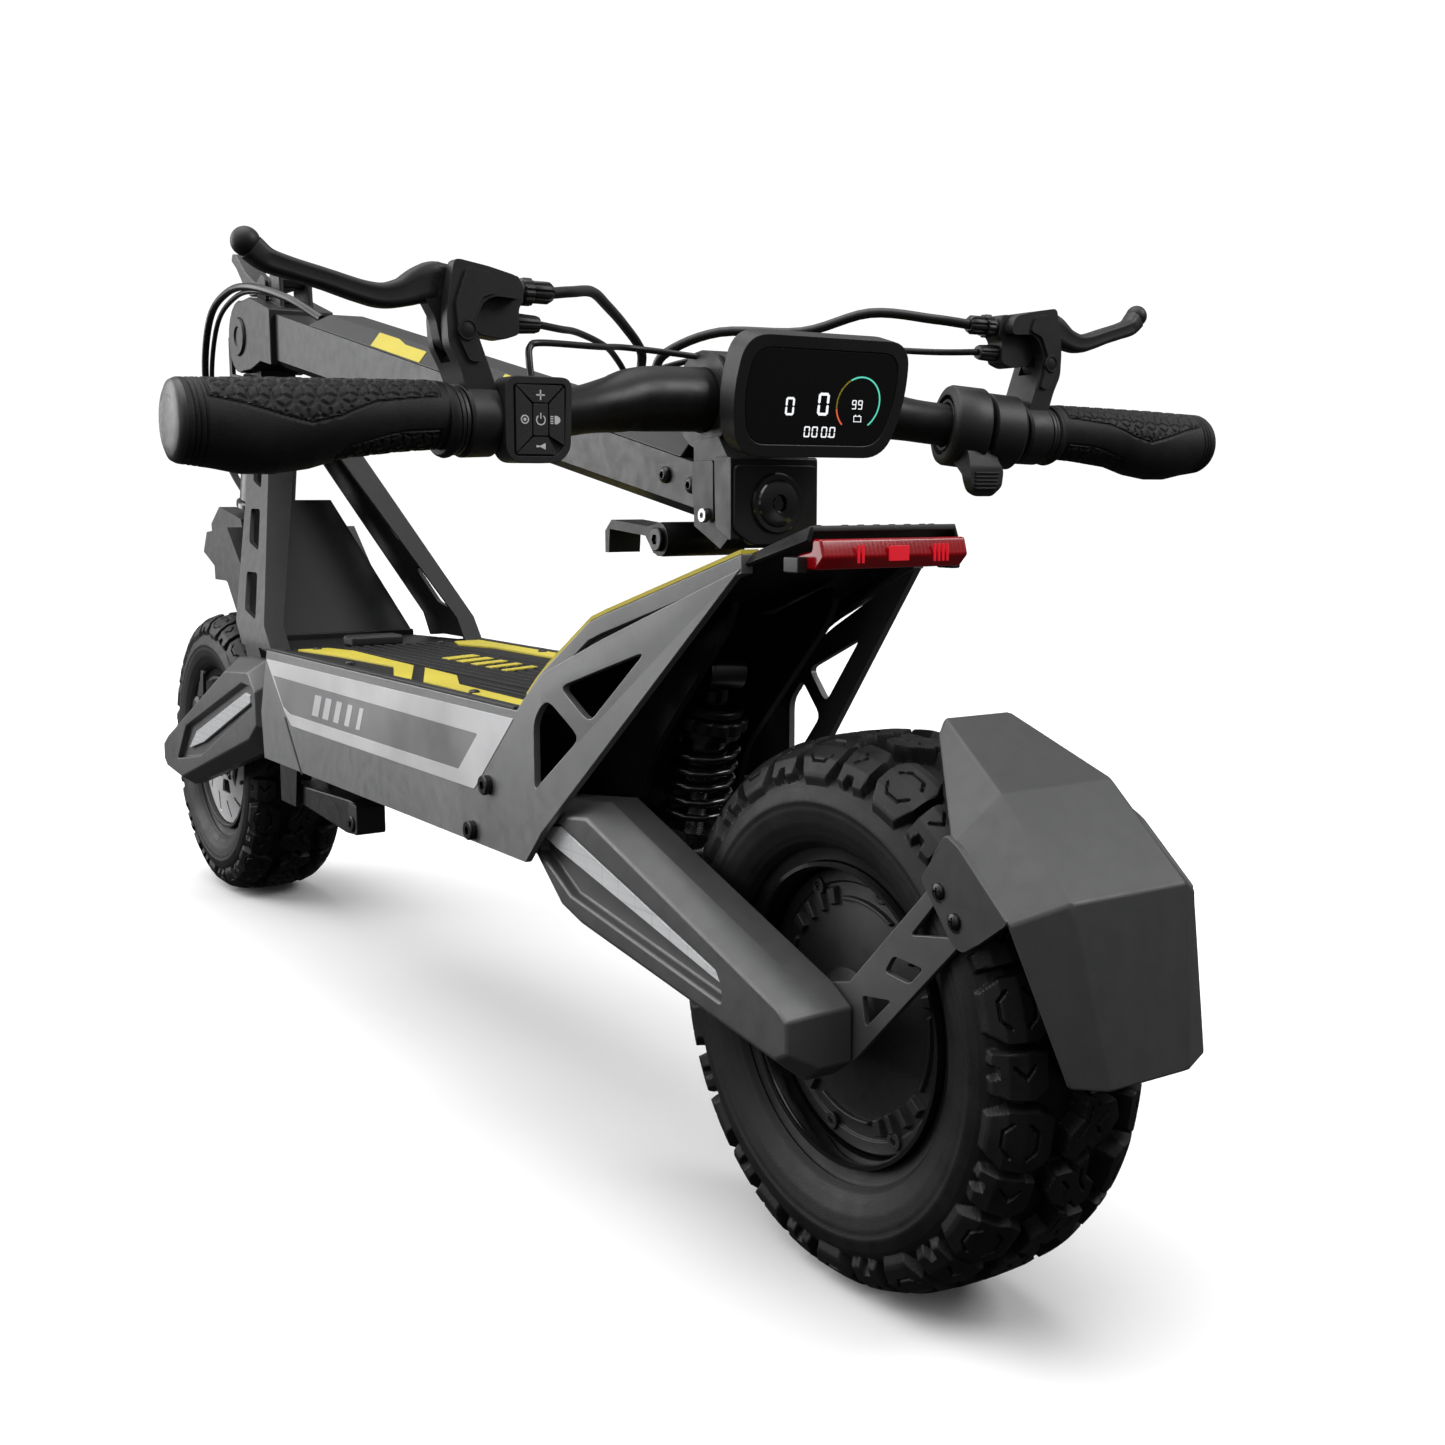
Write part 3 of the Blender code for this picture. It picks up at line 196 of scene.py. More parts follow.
def rubber(name, colour, rough=0.62, dust=0.25):
    """Moulded rubber: matt, faintly dusty in patches, with mould grain."""
    g = Graph(name)
    fine = g.noise(1300, 4, 0.65)
    mid = g.noise(60, 4, 0.6)
    tone = g.mix(g.ramp(mid, 0.35, 0.7, 0, 1), tuple(c * 0.75 for c in colour), tuple(c * 1.3 for c in colour))
    dusty = g.math("MULTIPLY", g.ramp(g.noise(22, 5, 0.7), 0.45, 0.75, 0, 1), dust)
    tone = g.mix(dusty, tone, (0.035, 0.034, 0.033))
    r = g.math("ADD", g.ramp(mid, 0.3, 0.7, rough - 0.06, rough + 0.08), g.ramp(fine, 0.3, 0.7, -0.05, 0.05))
    return g.out(Base_Color=tone, Roughness=r, Normal=g.bump(fine, 0.35, 0.0004), Specular_IOR_Level=0.28)


def metal(name, colour, rough=0.3, streak=(1, 1, 1), grain=0.12, scale=700, wear=0.3):
    """Bare metal with fine scratches along one direction."""
    g = Graph(name)
    m = g.node("ShaderNodeMapping", Scale=streak)
    g.t.links.new(g.coords, m.inputs["Vector"])
    lines = g.noise(scale, 4, 0.7, m.outputs[0])
    slow = g.noise(30, 4, 0.6)
    tone = g.mix(g.ramp(slow, 0.3, 0.7, 0, 1), tuple(c * 0.82 for c in colour), tuple(min(1, c * 1.12) for c in colour))
    r = g.math("ADD", g.ramp(lines, 0.3, 0.7, rough - 0.08, rough + 0.1), g.ramp(slow, 0.3, 0.7, -0.03, 0.05))
    tone = g.mix(g.math("MULTIPLY", g.edge(0.0006), wear), tone, tuple(min(1, c * 1.3 + 0.05) for c in colour))
    return g.out(Base_Color=tone, Roughness=r, Normal=g.bump(lines, grain, 0.0003), Metallic=1.0)


M = {}
M["plate"] = paint("plate_grey", (0.190, 0.191, 0.193), 0.40, 0.55, grain=0.16)
M["stem"] = paint("stem_grey", (0.022, 0.0225, 0.0235), 0.38, 0.4, grain=0.12)
M["char"] = paint("charcoal", (0.017, 0.0173, 0.018), 0.40, 0.4, grain=0.18)
M["arm"] = paint("arm_charcoal", (0.086, 0.0865, 0.088), 0.42, 0.45, grain=0.16)
M["dark"] = paint("satin_black", (0.012, 0.012, 0.0125), 0.38, 0.35, grain=0.15, wear=0.18)
M["hood"] = paint("mudguard_grey", (0.050, 0.0505, 0.052), 0.45, 0.25, grain=0.14, wear=0.25)
M["motor"] = paint("motor_black", (0.019, 0.019, 0.020), 0.46, 0.35, grain=0.25, wear=0.25)
M["gloss"] = paint("gloss_black", (0.006, 0.006, 0.0065), 0.14, 0.2, grain=0.03, wear=0.1, coat=0.6)
M["coil"] = paint("coil_gloss_black", (0.016, 0.016, 0.017), 0.12, 0.55, grain=0.02, wear=0.1, coat=1.0)
M["plastic"] = plastic("black_plastic", (0.013, 0.013, 0.0135), 0.45, 0.25)
M["plastic2"] = plastic("soft_black_plastic", (0.010, 0.010, 0.0105), 0.58, 0.5)
M["tyre"] = rubber("tyre_rubber", (0.0050, 0.0050, 0.0052), 0.50)
M["grip"] = rubber("grip_rubber", (0.010, 0.010, 0.0105), 0.55, dust=0.1)
M["deck"] = rubber("deck_rubber", (0.008, 0.008, 0.0085), 0.6, dust=0.2)
M["cap"] = paint("cap_grey", (0.034, 0.034, 0.035), 0.40, 0.35, grain=0.12)
M["steel"] = metal("steel", (0.42, 0.42, 0.43), 0.28)
M["darksteel"] = metal("black_screw_steel", (0.05, 0.05, 0.052), 0.32, wear=0.6)
M["silver"] = metal("clamp_silver", (0.12, 0.12, 0.123), 0.34)
M["cable"] = plastic("cable_sheath", (0.008, 0.008, 0.0085), 0.35, 0.12, 2600)


def decal(name, colour, rough=0.35, metal_=0.0):
    g = Graph(name)
    slow = g.noise(12, 4, 0.6)
    fine = g.noise(2200, 2, 0.5)
    tone = g.mix(g.ramp(slow, 0.3, 0.7, 0, 1), tuple(c * 0.9 for c in colour), tuple(min(1, c * 1.06) for c in colour))
    tone = g.mix(g.ramp(g.noise(160, 5, 0.7), 0.62, 0.78, 0, 0.25), tone, tuple(c * 0.6 for c in colour))
    r = g.ramp(slow, 0.3, 0.7, rough - 0.05, rough + 0.07)
    return g.out(Base_Color=tone, Roughness=r, Normal=g.bump(fine, 0.08, 0.0002), Metallic=metal_)


M["yellow"] = decal("accent_yellow", (0.60, 0.50, 0.045), 0.5)
M["white"] = decal("band_white", (0.66, 0.66, 0.67), 0.32, 0.25)
M["disc"] = decal("disc_steel", (0.70, 0.70, 0.71), 0.34, 0.45)
M["band"] = decal("band_silver", (0.27, 0.27, 0.275), 0.33, 0.55)


def reflector(name):
    """White prismatic sheeting: a grid of small square lenses under a clear gloss."""
    g = Graph(name)
    sep = g.node("ShaderNodeSeparateXYZ", Vector=g.coords)
    cells = []
    for k, s in ((1, 210.0), (2, 210.0)):
        u = g.math("FRACT", g.math("MULTIPLY", sep.outputs[k], s))
        cells.append(g.math("ABSOLUTE", g.math("SUBTRACT", u, 0.5)))
    ridge = g.math("MAXIMUM", *cells)
    big = g.math("MAXIMUM", *[g.math("ABSOLUTE", g.math("SUBTRACT", g.math("FRACT", g.math("MULTIPLY", sep.outputs[k], 62.0)), 0.5)) for k in (1, 2)])
    tone = g.mix(g.ramp(ridge, 0.30, 0.5, 0, 0.45), (0.72, 0.73, 0.74), (0.50, 0.51, 0.53))
    tone = g.mix(g.ramp(big, 0.44, 0.5, 0, 0.35), tone, (0.42, 0.43, 0.45))
    tone = g.mix(g.ramp(g.noise(30, 3), 0.35, 0.7, 0, 0.25), tone, (0.50, 0.51, 0.52))
    return g.out(Base_Color=tone, Roughness=g.ramp(ridge, 0, 0.5, 0.16, 0.3), Normal=g.bump(ridge, 0.25, 0.0006), Coat_Weight=0.5, Coat_Roughness=0.08)


M["reflector"] = reflector("prismatic_white")


def red_lens():
    """Deep red moulded lens with a faint vertical prism pattern under a clear gloss."""
    g = Graph("red_lens")
    sep = g.node("ShaderNodeSeparateXYZ", Vector=g.coords)
    u = g.math("ABSOLUTE", g.math("SUBTRACT", g.math("FRACT", g.math("MULTIPLY", sep.outputs[0], 420.0)), 0.5))
    tone = g.mix(g.ramp(u, 0.1, 0.5, 0, 1), (0.25, 0.002, 0.006), (0.34, 0.004, 0.009))
    tone = g.mix(g.ramp(g.noise(60, 3), 0.4, 0.7, 0, 0.7), tone, (0.17, 0.002, 0.005))
    return g.out(Base_Color=tone, Roughness=g.ramp(u, 0, 0.5, 0.10, 0.18), Normal=g.bump(u, 0.10, 0.0004), Coat_Weight=0.4, Coat_Roughness=0.12, Specular_IOR_Level=0.25,
                 Emission_Color=(0.5, 0.002, 0.006, 1), Emission_Strength=0.05)


M["red"] = red_lens()


def glow(name, colour, strength):
    g = Graph(name)
    n = g.noise(900, 2)
    return g.out(Base_Color=g.mix(n, tuple(c * 0.9 for c in colour), colour), Roughness=0.4, Emission_Color=(*colour, 1), Emission_Strength=strength)


M["lit"] = glow("lit_segments", (0.85, 0.88, 0.9), 0.9)
M["lit_green"] = glow("lit_green", (0.10, 0.62, 0.45), 0.9)
M["lit_red"] = glow("lit_red", (0.75, 0.12, 0.05), 0.8)
M["red_hot"] = glow("lit_red_bars", (0.62, 0.010, 0.022), 0.55)
M["ink"] = decal("pale_ink", (0.80, 0.80, 0.80), 0.5)


def glass():
    g = Graph("display_glass")
    n = g.noise(700, 2)
    return g.out(Base_Color=g.mix(n, (0.004, 0.004, 0.0045), (0.007, 0.007, 0.008)), Roughness=g.ramp(g.noise(18, 3), 0.3, 0.7, 0.07, 0.14),
                 Normal=g.bump(n, 0.01, 0.0002), Coat_Weight=0.7, Coat_Roughness=0.04)


M["glass"] = glass()

# ---------------------------------------------------------------- mesh helpers
CUT = bpy.data.collections.new("cutters")


def from_bm(bm, name="m"):
    me = bpy.data.meshes.new(name)
    bm.to_mesh(me)
    bm.free()
    return me


def to_bm(me):
    bm = bmesh.new()
    bm.from_mesh(me)
    return bm


def evaluate(me, mods):
    """The mesh after the given modifiers; each is (type, {settings})."""
    o = bpy.data.objects.new("work", me)
    bpy.context.scene.collection.objects.link(o)
    for kind, kw in mods:
        m = o.modifiers.new(kind, kind)
        for k, v in kw.items():
            setattr(m, k, v)
    dg = bpy.context.evaluated_depsgraph_get()
    dg.update()
    out = bpy.data.meshes.new_from_object(o.evaluated_get(dg))
    bpy.data.objects.remove(o, do_unlink=True)
    return out


def boolean(me, others, operation="DIFFERENCE"):
    for other in others:
        t = bpy.data.objects.new("tool", other)
        bpy.context.scene.collection.objects.link(t)
        me = evaluate(me, [("BOOLEAN", {"operation": operation, "solver": "EXACT", "object": t})])
        bpy.data.objects.remove(t, do_unlink=True)
    return me


def clean(me, angle=1.0, dist=2e-6):
    bm = to_bm(me)
    bmesh.ops.remove_doubles(bm, verts=bm.verts, dist=dist)
    bmesh.ops.dissolve_limit(bm, angle_limit=math.radians(angle), verts=bm.verts, edges=bm.edges)
    bmesh.ops.dissolve_degenerate(bm, edges=bm.edges, dist=1e-6)
    bmesh.ops.recalc_face_normals(bm, faces=bm.faces)
    return from_bm(bm)


def join(meshes):
    bm = bmesh.new()
    for me in meshes:
        bm.from_mesh(me)
    return from_bm(bm)


def mirror(me):
    me = me.copy()
    me.transform(Matrix.Scale(-1, 4, (1, 0, 0)))
    me.flip_normals()
    return me


def moved(me, v):
    me = me.copy()
    me.transform(Matrix.Translation(v))
    return me


def add(name, me, mat, body, bevel=0.0, seg=2, angle=30, smooth=32, replaces=(), blend=None, world=False, subsurf=0):
    """One shown piece from a mesh in the axle frame: edges rounded, shaded, given its material and put on its body."""
    if not world:
        me.transform(SHIFT)
    if bevel:
        me = clean(me)
        me = evaluate(me, [("BEVEL", {"width": bevel, "segments": seg, "limit_method": "ANGLE", "angle_limit": math.radians(angle),
                                      "use_clamp_overlap": True, "miter_outer": "MITER_ARC"})])
    if subsurf:
        me = evaluate(me, [("SUBSURF", {"levels": subsurf, "render_levels": subsurf})])
    me.name = name
    me.materials.clear()
    me.materials.append(M[mat] if isinstance(mat, str) else mat)
    me.shade_smooth()
    me.set_sharp_from_angle(angle=math.radians(smooth))
    o = bpy.data.objects.new(name, me)
    bpy.context.scene.collection.objects.link(o)
    if bevel and not subsurf:
        w = o.modifiers.new("normals", "WEIGHTED_NORMAL")
        w.keep_sharp = True
        w.weight = 60
    if blend:
        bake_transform(o, *blend)
    else:
        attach(o, body)
    if replaces:
        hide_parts(*replaces)
    return o


def node_mesh(node, angle=0.6):
    """A copy of a CAD node's mesh in the axle frame, with its flat faces merged."""
    me = NODES[node].data.copy()
    me.transform(Matrix.Translation((0, -DY, 0)))
    bm = to_bm(me)
    for k in list(bm.verts.layers.float) + []:
        pass
    bmesh.ops.remove_doubles(bm, verts=bm.verts, dist=3e-6)
    bmesh.ops.dissolve_limit(bm, angle_limit=math.radians(angle), verts=bm.verts, edges=bm.edges)
    bmesh.ops.recalc_face_normals(bm, faces=bm.faces)
    return from_bm(bm)


def soften(node, mat, bevel=0.001, seg=2, angle=30, name=None, cuts=(), unions=(), smooth=32):
    """A CAD node's shape with its edges rounded, standing for the node."""
    me = node_mesh(node)
    if unions:
        me = boolean(me, unions, "UNION")
    if cuts:
        me = boolean(me, cuts)
    body = NODES[node]["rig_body"]
    return add(name or node + "_shape", me, mat, body, bevel=bevel, seg=seg, angle=angle, replaces=(node,), smooth=smooth)


def prism(points, a, b, axis="X", holes=()):
    """A flat outline extruded between a and b. Points are (Y, Z) for X, (X, Z) for Y and (X, Y) for Z."""
    cu = bpy.data.curves.new("outline", "CURVE")
    cu.dimensions = "2D"
    cu.fill_mode = "BOTH"
    cu.extrude = abs(b - a) / 2
    for ring in (points, *holes):
        sp = cu.splines.new("POLY")
        sp.points.add(len(ring) - 1)
        for p, (u, v) in zip(sp.points, ring):
            p.co = (u, v, 0, 1)
        sp.use_cyclic_u = True
    o = bpy.data.objects.new("outline", cu)
    bpy.context.scene.collection.objects.link(o)
    bpy.context.view_layer.update()
    dg = bpy.context.evaluated_depsgraph_get()
    me = bpy.data.meshes.new_from_object(o.evaluated_get(dg))
    bpy.data.objects.remove(o, do_unlink=True)
    c = (a + b) / 2
    if axis == "X":
        rot = Matrix(((0, 0, 1, c), (1, 0, 0, 0), (0, 1, 0, 0), (0, 0, 0, 1)))
    elif axis == "Y":
        rot = Matrix(((1, 0, 0, 0), (0, 0, 1, c), (0, 1, 0, 0), (0, 0, 0, 1)))
    else:
        rot = Matrix.Translation((0, 0, c))
    me.transform(rot)
    bm = to_bm(me)
    bmesh.ops.remove_doubles(bm, verts=bm.verts, dist=1e-6)
    bmesh.ops.dissolve_limit(bm, angle_limit=math.radians(0.5), verts=bm.verts, edges=bm.edges)
    bmesh.ops.recalc_face_normals(bm, faces=bm.faces)
    return from_bm(bm)


def block(x0, x1, y0, y1, z0, z1):
    bm = bmesh.new()
    bmesh.ops.create_cube(bm, size=1)
    bmesh.ops.scale(bm, vec=(x1 - x0, y1 - y0, z1 - z0), verts=bm.verts)
    bmesh.ops.translate(bm, vec=((x0 + x1) / 2, (y0 + y1) / 2, (z0 + z1) / 2), verts=bm.verts)
    return from_bm(bm)


def orient(me, p, axis, twist=0.0):
    """Moves a mesh built along +Z at the origin to stand at p along axis."""
    q = Z.rotation_difference(Vector(axis).normalized())
    me.transform(Matrix.Translation(p) @ q.to_matrix().to_4x4() @ Matrix.Rotation(twist, 4, "Z"))
    return me


def turned(profile, p=(0, 0, 0), axis=(0, 0, 1), steps=48, closed=False):
    """A lathe form: profile of (height, radius) about axis at p; it is capped where the radius is 0."""
    bm = bmesh.new()
    rings = []
    for h, r in profile:
        if r < 1e-7:
            rings.append([bm.verts.new((0, 0, h))])
        else:
            rings.append([bm.verts.new((r * math.cos(2 * math.pi * k / steps), r * math.sin(2 * math.pi * k / steps), h)) for k in range(steps)])
    pairs = list(zip(rings, rings[1:]))
    if closed:
        pairs.append((rings[-1], rings[0]))
    for a, b in pairs:
        for k in range(steps):
            k2 = (k + 1) % steps
            quad = [a[k % len(a)], a[k2 % len(a)], b[k2 % len(b)], b[k % len(b)]]
            quad = [v for i, v in enumerate(quad) if v not in quad[:i]]
            if len(quad) > 2:
                bm.faces.new(quad)
    bmesh.ops.recalc_face_normals(bm, faces=bm.faces)
    return orient(from_bm(bm), Vector(p), axis)


def rod(p, axis, r, length, steps=32, edge=0.0, r2=None):
    """A capped round bar centred at p with chamfered ends."""
    r2 = r if r2 is None else r2
    h = length / 2
    e = min(edge, h * 0.9, r * 0.9)
    prof = [(-h, 0), (-h, r - e), (-h + e * 0.3, r - e * 0.3), (-h + e, r), (h - e, r2), (h - e * 0.3, r2 - e * 0.3), (h, r2 - e), (h, 0)] if e else \
        [(-h, 0), (-h, r), (h, r2), (h, 0)]
    return turned(prof, p, axis, steps)


def frames_along(pts):
    """A parallel-transported pair of side vectors at each point."""
    tans = []
    for i in range(len(pts)):
        a, b = pts[max(0, i - 1)], pts[min(len(pts) - 1, i + 1)]
        tans.append((b - a).normalized())
    n = tans[0].orthogonal().normalized()
    out = []
    for i, t in enumerate(tans):
        if i:
            q = tans[i - 1].rotation_difference(t)
            n = (q @ n).normalized()
        out.append((n, t.cross(n).normalized()))
    return out


def pipe(points, radius, steps=12, caps=True):
    """A tube along points; radius is a number or a list, one for each point."""
    pts = [Vector(p) for p in points]
    rad = radius if isinstance(radius, (list, tuple)) else [radius] * len(pts)
    bm = bmesh.new()
    rings = []
    for p, r, (n, b) in zip(pts, rad, frames_along(pts)):
        rings.append([bm.verts.new(p + n * (r * math.cos(2 * math.pi * k / steps)) + b * (r * math.sin(2 * math.pi * k / steps))) for k in range(steps)])
    for a, c in zip(rings, rings[1:]):
        for k in range(steps):
            bm.faces.new((a[k], a[(k + 1) % steps], c[(k + 1) % steps], c[k]))
    if caps:
        bm.faces.new(rings[0][::-1])
        bm.faces.new(rings[-1])
    bmesh.ops.recalc_face_normals(bm, faces=bm.faces)
    return from_bm(bm)


def curve(points, n=32):
    """A smooth Catmull-Rom path through the points."""
    P = [Vector(p) for p in points]
    P = [P[0] * 2 - P[1]] + P + [P[-1] * 2 - P[-2]]
    out = []
    per = max(2, n // (len(P) - 3))
    for i in range(1, len(P) - 2):
        a, b, c, d = P[i - 1:i + 3]
        for k in range(per):
            t = k / per
            out.append(0.5 * ((2 * b) + (c - a) * t + (2 * a - 5 * b + 4 * c - d) * t * t + (3 * b - a - 3 * c + d) * t ** 3))
    out.append(P[-2])
    return out


def loft(sections, caps=True, closed=False):
    bm = bmesh.new()
    rings = [[bm.verts.new(p) for p in s] for s in sections]
    n = len(rings[0])
    for a, b in zip(rings, rings[1:]):
        for k in range(n if not closed else n):
            bm.faces.new((a[k], a[(k + 1) % n], b[(k + 1) % n], b[k]))
    if caps:
        bm.faces.new(rings[0][::-1])
        bm.faces.new(rings[-1])
    bmesh.ops.recalc_face_normals(bm, faces=bm.faces)
    return from_bm(bm)


def rounded(points, r, n=4):
    """A 2-D outline with each corner cut back by r and rounded."""
    out = []
    m = len(points)
    for i in range(m):
        p0, p, p1 = (Vector((*points[j % m], 0)) for j in (i - 1, i, i + 1))
        a, b = (p0 - p), (p1 - p)
        ra = min(r, a.length * 0.45)
        rb = min(r, b.length * 0.45)
        s, e = p + a.normalized() * ra, p + b.normalized() * rb
        for k in range(n + 1):
            t = k / n
            q = s * (1 - t) ** 2 + p * (2 * t * (1 - t)) + e * t * t
            out.append((q.x, q.y))
    return out


def screw(p, axis, r, h, drive="hex", head="button"):
    """A screw head standing on p: a dome or a cap with its drive recess cut in; the drive's floor is part of the head."""
    if head == "button":
        prof = [(0, 0), (0, r), (h * 0.25, r), (h * 0.6, r * 0.93), (h * 0.9, r * 0.72), (h, r * 0.52)]
    elif head == "cap":
        prof = [(0, 0), (0, r), (h * 0.85, r), (h, r * 0.9), (h, r * 0.55)]
    else:
        prof = [(0, 0), (0, r), (h * 0.2, r), (h * 0.75, r * 0.88), (h, r * 0.6)]
    steps = 24
    bm = bmesh.new()
    rings = []
    for z, rr in prof:
        rings.append([bm.verts.new((0, 0, z))] if rr == 0 else
                     [bm.verts.new((rr * math.cos(2 * math.pi * k / steps), rr * math.sin(2 * math.pi * k / steps), z)) for k in range(steps)])
    deep = h * 0.45

    def drive_r(a):
        if drive == "hex":
            s = (a + math.pi / 6) % (math.pi / 3) - math.pi / 6
            return r * 0.42 / math.cos(s)
        s = (a + math.pi / 4) % (math.pi / 2) - math.pi / 4
        return r * (0.50 if abs(s) < 0.30 else 0.17)
    for z in (prof[-1][0], prof[-1][0] - deep):
        rings.append([bm.verts.new((drive_r(2 * math.pi * k / steps) * math.cos(2 * math.pi * k / steps),
                                    drive_r(2 * math.pi * k / steps) * math.sin(2 * math.pi * k / steps), z)) for k in range(steps)])
    rings.append([bm.verts.new((0, 0, prof[-1][0] - deep))])
    for a, b in zip(rings, rings[1:]):
        for k in range(steps):
            k2 = (k + 1) % steps
            quad = [a[k % len(a)], a[k2 % len(a)], b[k2 % len(b)], b[k % len(b)]]
            quad = [v for i, v in enumerate(quad) if v not in quad[:i]]
            if len(quad) > 2:
                bm.faces.new(quad)
    bmesh.ops.recalc_face_normals(bm, faces=bm.faces)
    return orient(from_bm(bm), Vector(p), axis)


# ---------------------------------------------------------------- tyres
TREAD = [(0.0, 0.1274), (0.0120, 0.1272), (0.0240, 0.1260), (0.0320, 0.1232), (0.0380, 0.1185), (0.0412, 0.1120), (0.0420, 0.1060)]
CASE = [(0.0, 0.1196), (0.0120, 0.1193), (0.0230, 0.1180), (0.0310, 0.1152), (0.0365, 0.1110), (0.0398, 0.1070), (0.0414, 0.1040)]
WALL = [(0.0420, 0.1000), (0.0418, 0.0945), (0.0405, 0.0885), (0.0378, 0.0825), (0.0345, 0.0785), (0.0330, 0.0772), (0.0322, 0.0776), (0.0312, 0.0768),
        (0.0300, 0.0735), (0.0292, 0.0706), (0.0270, 0.0700)]
PITCHES = 14


def resample(pts, n):
    p = np.array(pts, float)
    d = np.concatenate([[0], np.cumsum(np.hypot(*np.diff(p, axis=0).T))])
    t = np.linspace(0, d[-1], n)
    return np.stack([np.interp(t, d, p[:, 0]), np.interp(t, d, p[:, 1])], 1), t


def poly_distance(s, v, poly):
    """Signed distance to a polygon, positive inside, for arrays s and v."""
    p = np.array(poly, float)
    inside = np.zeros(s.shape, bool)
    best = np.full(s.shape, 1e9)
    for (x0, y0), (x1, y1) in zip(p, np.roll(p, -1, axis=0)):
        cross = ((y0 > v) != (y1 > v))
        with np.errstate(divide="ignore", invalid="ignore"):
            xc = (x1 - x0) * (v - y0) / (y1 - y0 + 1e-12) + x0
        inside ^= cross & (s < xc)
        dx, dy = x1 - x0, y1 - y0
        t = np.clip(((s - x0) * dx + (v - y0) * dy) / (dx * dx + dy * dy), 0, 1)
        best = np.minimum(best, np.hypot(s - x0 - t * dx, v - y0 - t * dy))
    return np.where(inside, best, -best)


def seg_distance(s, v, a, b):
    dx, dy = b[0] - a[0], b[1] - a[1]
    t = np.clip(((s - a[0]) * dx + (v - a[1]) * dy) / (dx * dx + dy * dy), 0, 1)
    return np.hypot(s - a[0] - t * dx, v - a[1] - t * dy)


def smoothstep(x, a, b):
    t = np.clip((x - a) / (b - a), 0, 1)
    return t * t * (3 - 2 * t)


# one pitch of the tread in millimetres: s runs round the tyre, v across it from the centre line (+v half; the -v half is turned by half a pitch)
P_MM = 2 * math.pi * 127.5 / PITCHES
BLOCKS = [
    ([(-10, 20), (8, 20), (14, 27), (14.5, 40), (9, 50), (-9, 50), (-13.5, 40), (-14, 27)], [((-8, 31), (-4, 27), (4, 27), (8, 31)), ((-8, 38), (-4, 42), (4, 42), (8, 38))]),
    ([(19, 24), (34, 24), (39, 30), (38, 48), (31, 49), (29.5, 44.5), (25, 44.5), (23.5, 49), (18.5, 48), (18, 30)], [((24, 30), (29, 33.5), (24.5, 38))]),
    ([(-17, 3), (-6, 4.5), (-1, 11), (9, 12.5), (13, 6), (5, -1), (-3, -3.5), (-14, -3.5)], [((-11, 0), (-4, 1.5), (2, 6))]),
    ([(17, 5), (24, -2), (33, -3), (38, 3), (33, 12), (26, 17), (17, 14)], [((22, 9), (27, 4), (31, 6))]),
]


def tread_height(s, v):
    """Block height, 0 to 1, and sipe depth, at (s, v) in millimetres."""
    h = np.zeros(s.shape)
    cut = np.zeros(s.shape)
    for side, off in ((1, 0.0), (-1, P_MM / 2)):
        vv = v * side
        for poly, sipes in BLOCKS:
            c = np.mean([p[0] for p in poly])
            ss = (s + off - c + P_MM / 2) % P_MM - P_MM / 2 + c
            d = poly_distance(ss, vv, poly)
            h = np.maximum(h, smoothstep(d, -1.1, 0.35))
            for line in sipes:
                for a, b in zip(line, line[1:]):
                    cut = np.maximum(cut, 1 - smoothstep(seg_distance(ss, vv, a, b), 0.25, 0.75))
    return h, cut


